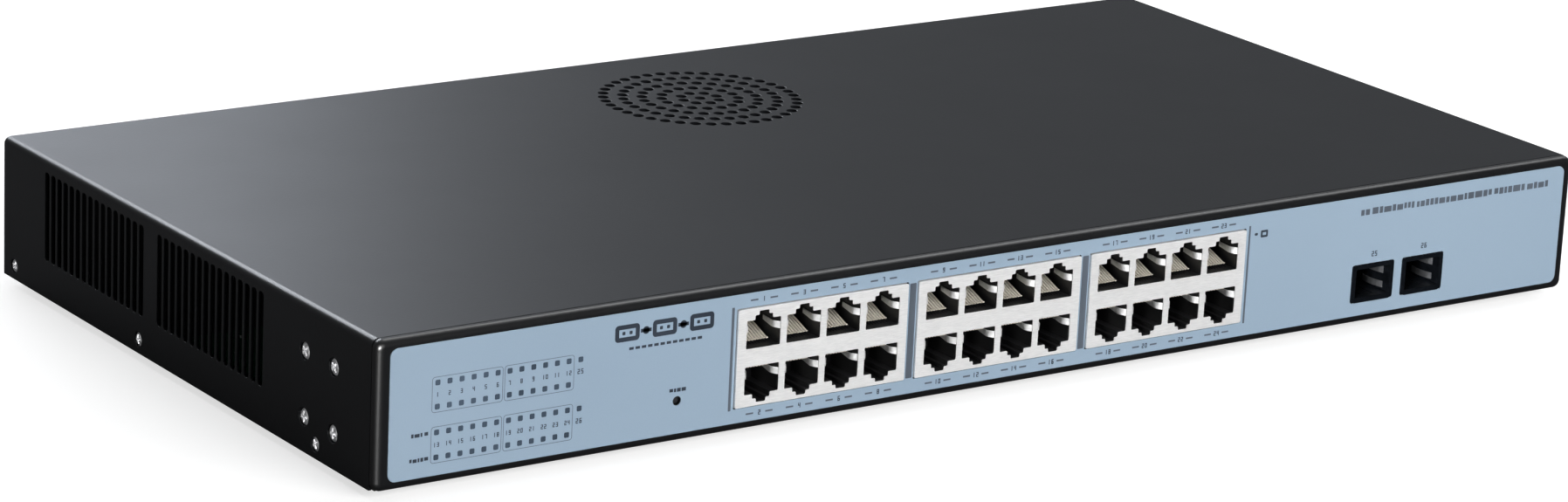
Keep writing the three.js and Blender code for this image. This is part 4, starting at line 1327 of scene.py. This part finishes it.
cover = build_cover()
build_tray()
build_film()
build_print()
build_jacks()
build_cages()
build_screws()
build_nuts()
build_feet()
build_reset()
build_inlet()
build_inlet_blades()
build_rocker_bezel()
build_rocker()
build_rocker_marks()
finish_inside()


# ---------------------------------------------------------------- floor, world and lights, metres
def build_floor():
    """Wide floor that looks pale to the camera but bounces little light."""
    half, z = 14.0, CAD_BOX[0][2]
    mesh = bpy.data.meshes.new("floor")
    corners = [(-half, -half, z), (half, -half, z), (half, half, z), (-half, half, z)]
    mesh.from_pydata(corners, [], [(0, 1, 2, 3)])
    ob = bpy.data.objects.new("floor", mesh)
    scene.collection.objects.link(ob)
    s = Shader("floor_pale")
    seen = s.new("LightPath").outputs["Is Camera Ray"]
    s.set(color=s.mix(seen, (0.09, 0.09, 0.093), (0.45, 0.45, 0.45)), rough=0.8, spec=0.05,
          emit=(1.0, 1.0, 1.0), emit_power=s.maths("MULTIPLY", seen, 0.67))
    mesh.materials.append(s.material)


def build_world():
    world = bpy.data.worlds.new("soft_studio")
    scene.world = world
    world.use_nodes = True
    background = world.node_tree.nodes["Background"]
    background.inputs["Color"].default_value = (0.96, 0.98, 1.0, 1)
    background.inputs["Strength"].default_value = 0.125


def area_light(name, at, to, size, power, color=(1, 1, 1), diffuse=True, glossy=True):
    """Rectangular light; diffuse or glossy off hides it from matt light or reflections."""
    light = bpy.data.lights.new(name, "AREA")
    light.shape = "RECTANGLE"
    light.size, light.size_y = size
    light.energy = power
    light.color = color
    ob = bpy.data.objects.new(name, light)
    scene.collection.objects.link(ob)
    ob.location = at
    ob.rotation_euler = (Vector(to) - Vector(at)).to_track_quat("-Z", "Y").to_euler()
    ob.visible_diffuse = diffuse
    ob.visible_glossy = glossy
    return ob


def build_lights():
    area_light("key_front", at=(0.55, -2.95, 1.45), to=(0, 0, 0), size=(2.4, 1.6), power=128,
               color=(1.0, 0.995, 0.985), glossy=False)
    front_left = area_light("key_front_left_reflection", at=(-1.15, -2.85, 1.3), to=(0, 0, 0),
                            size=(2.5, 1.8), power=40, color=(1.0, 0.995, 0.985), diffuse=False)
    left_edge = area_light("left_edge_reflection", at=(-1.15, -0.95, 0.26),
                           to=(-0.22, -0.115, 0.02), size=(0.35, 0.5), power=55, diffuse=False)
    area_light("back_left_card", at=(0.42, 2.6, 0.9), to=(0.42, 0, 0.3), size=(1.8, 1.1),
               power=10.6, color=(0.84, 0.90, 1.0))
    area_light("back_right_card", at=(2.3, 2.2, 0.9), to=(0.2, 0, 0.1), size=(2.2, 1.3),
               power=0.9, color=(0.84, 0.92, 1.0), diffuse=False)
    area_light("back_high_strip", at=(0.0, 2.35, 1.75), to=(0, 0, 0), size=(1.7, 0.36),
               power=36, color=(0.9, 0.94, 1.0), diffuse=False)
    area_light("overhead", at=(0.2, 0.4, 3.0), to=(0, 0, 0), size=(2.0, 1.6), power=9)
    front_bend = area_light("front_bend_reflection", at=(1.95, 1.0, 2.45), to=(0, -0.115, 0.04),
                            size=(2.6, 0.8), power=34, color=(0.97, 0.98, 1.0), diffuse=False)
    area_light("rear_fill", at=(0.5, 3.0, 0.8), to=(0, 0.1, 0.02), size=(2.2, 1.0), power=160,
               color=(0.95, 0.97, 1.0), glossy=False)
    area_light("right_fill", at=(3.0, 0.2, 0.7), to=(0.2, 0, 0.02), size=(1.6, 1.0), power=60,
               color=(0.95, 0.97, 1.0), glossy=False)
    # These reflections skip the flat top, so it doesn't glare when seen from behind.
    flagged = bpy.data.collections.new("flagged_from_glare")
    flagged.objects.link(cover)
    flagged.collection_objects[0].light_linking.link_state = "EXCLUDE"
    for light in (front_left, left_edge, front_bend):
        light.light_linking.receiver_collection = flagged


def build_camera():
    azimuth, elevation, roll = (math.radians(a) for a in (-35.07, 16.64, 2.73))
    back = Vector((math.sin(azimuth) * math.cos(elevation),
                   -math.cos(azimuth) * math.cos(elevation), math.sin(elevation)))
    level_right = Vector((math.cos(azimuth), math.sin(azimuth), 0.0))
    level_up = back.cross(level_right)
    right = level_right * math.cos(roll) + level_up * math.sin(roll)
    up = -level_right * math.sin(roll) + level_up * math.cos(roll)
    place = to_world(-SIDE - 671, FRONT - 1146, 471)  # left of, before and above the casing

    camera = bpy.data.cameras.new("camera")
    ob = bpy.data.objects.new("camera", camera)
    scene.collection.objects.link(ob)
    rows = [(right[i], up[i], back[i], place[i]) for i in range(3)]
    ob.matrix_world = Matrix((*rows, (0, 0, 0, 1)))
    camera.sensor_width = 36.0
    camera.lens = 117.16035635
    camera.clip_start, camera.clip_end = 0.01, 60.0
    scene.camera = ob


build_floor()
build_world()
build_lights()
build_camera()
scene.view_settings.view_transform = "Standard"
scene.view_settings.look = "None"
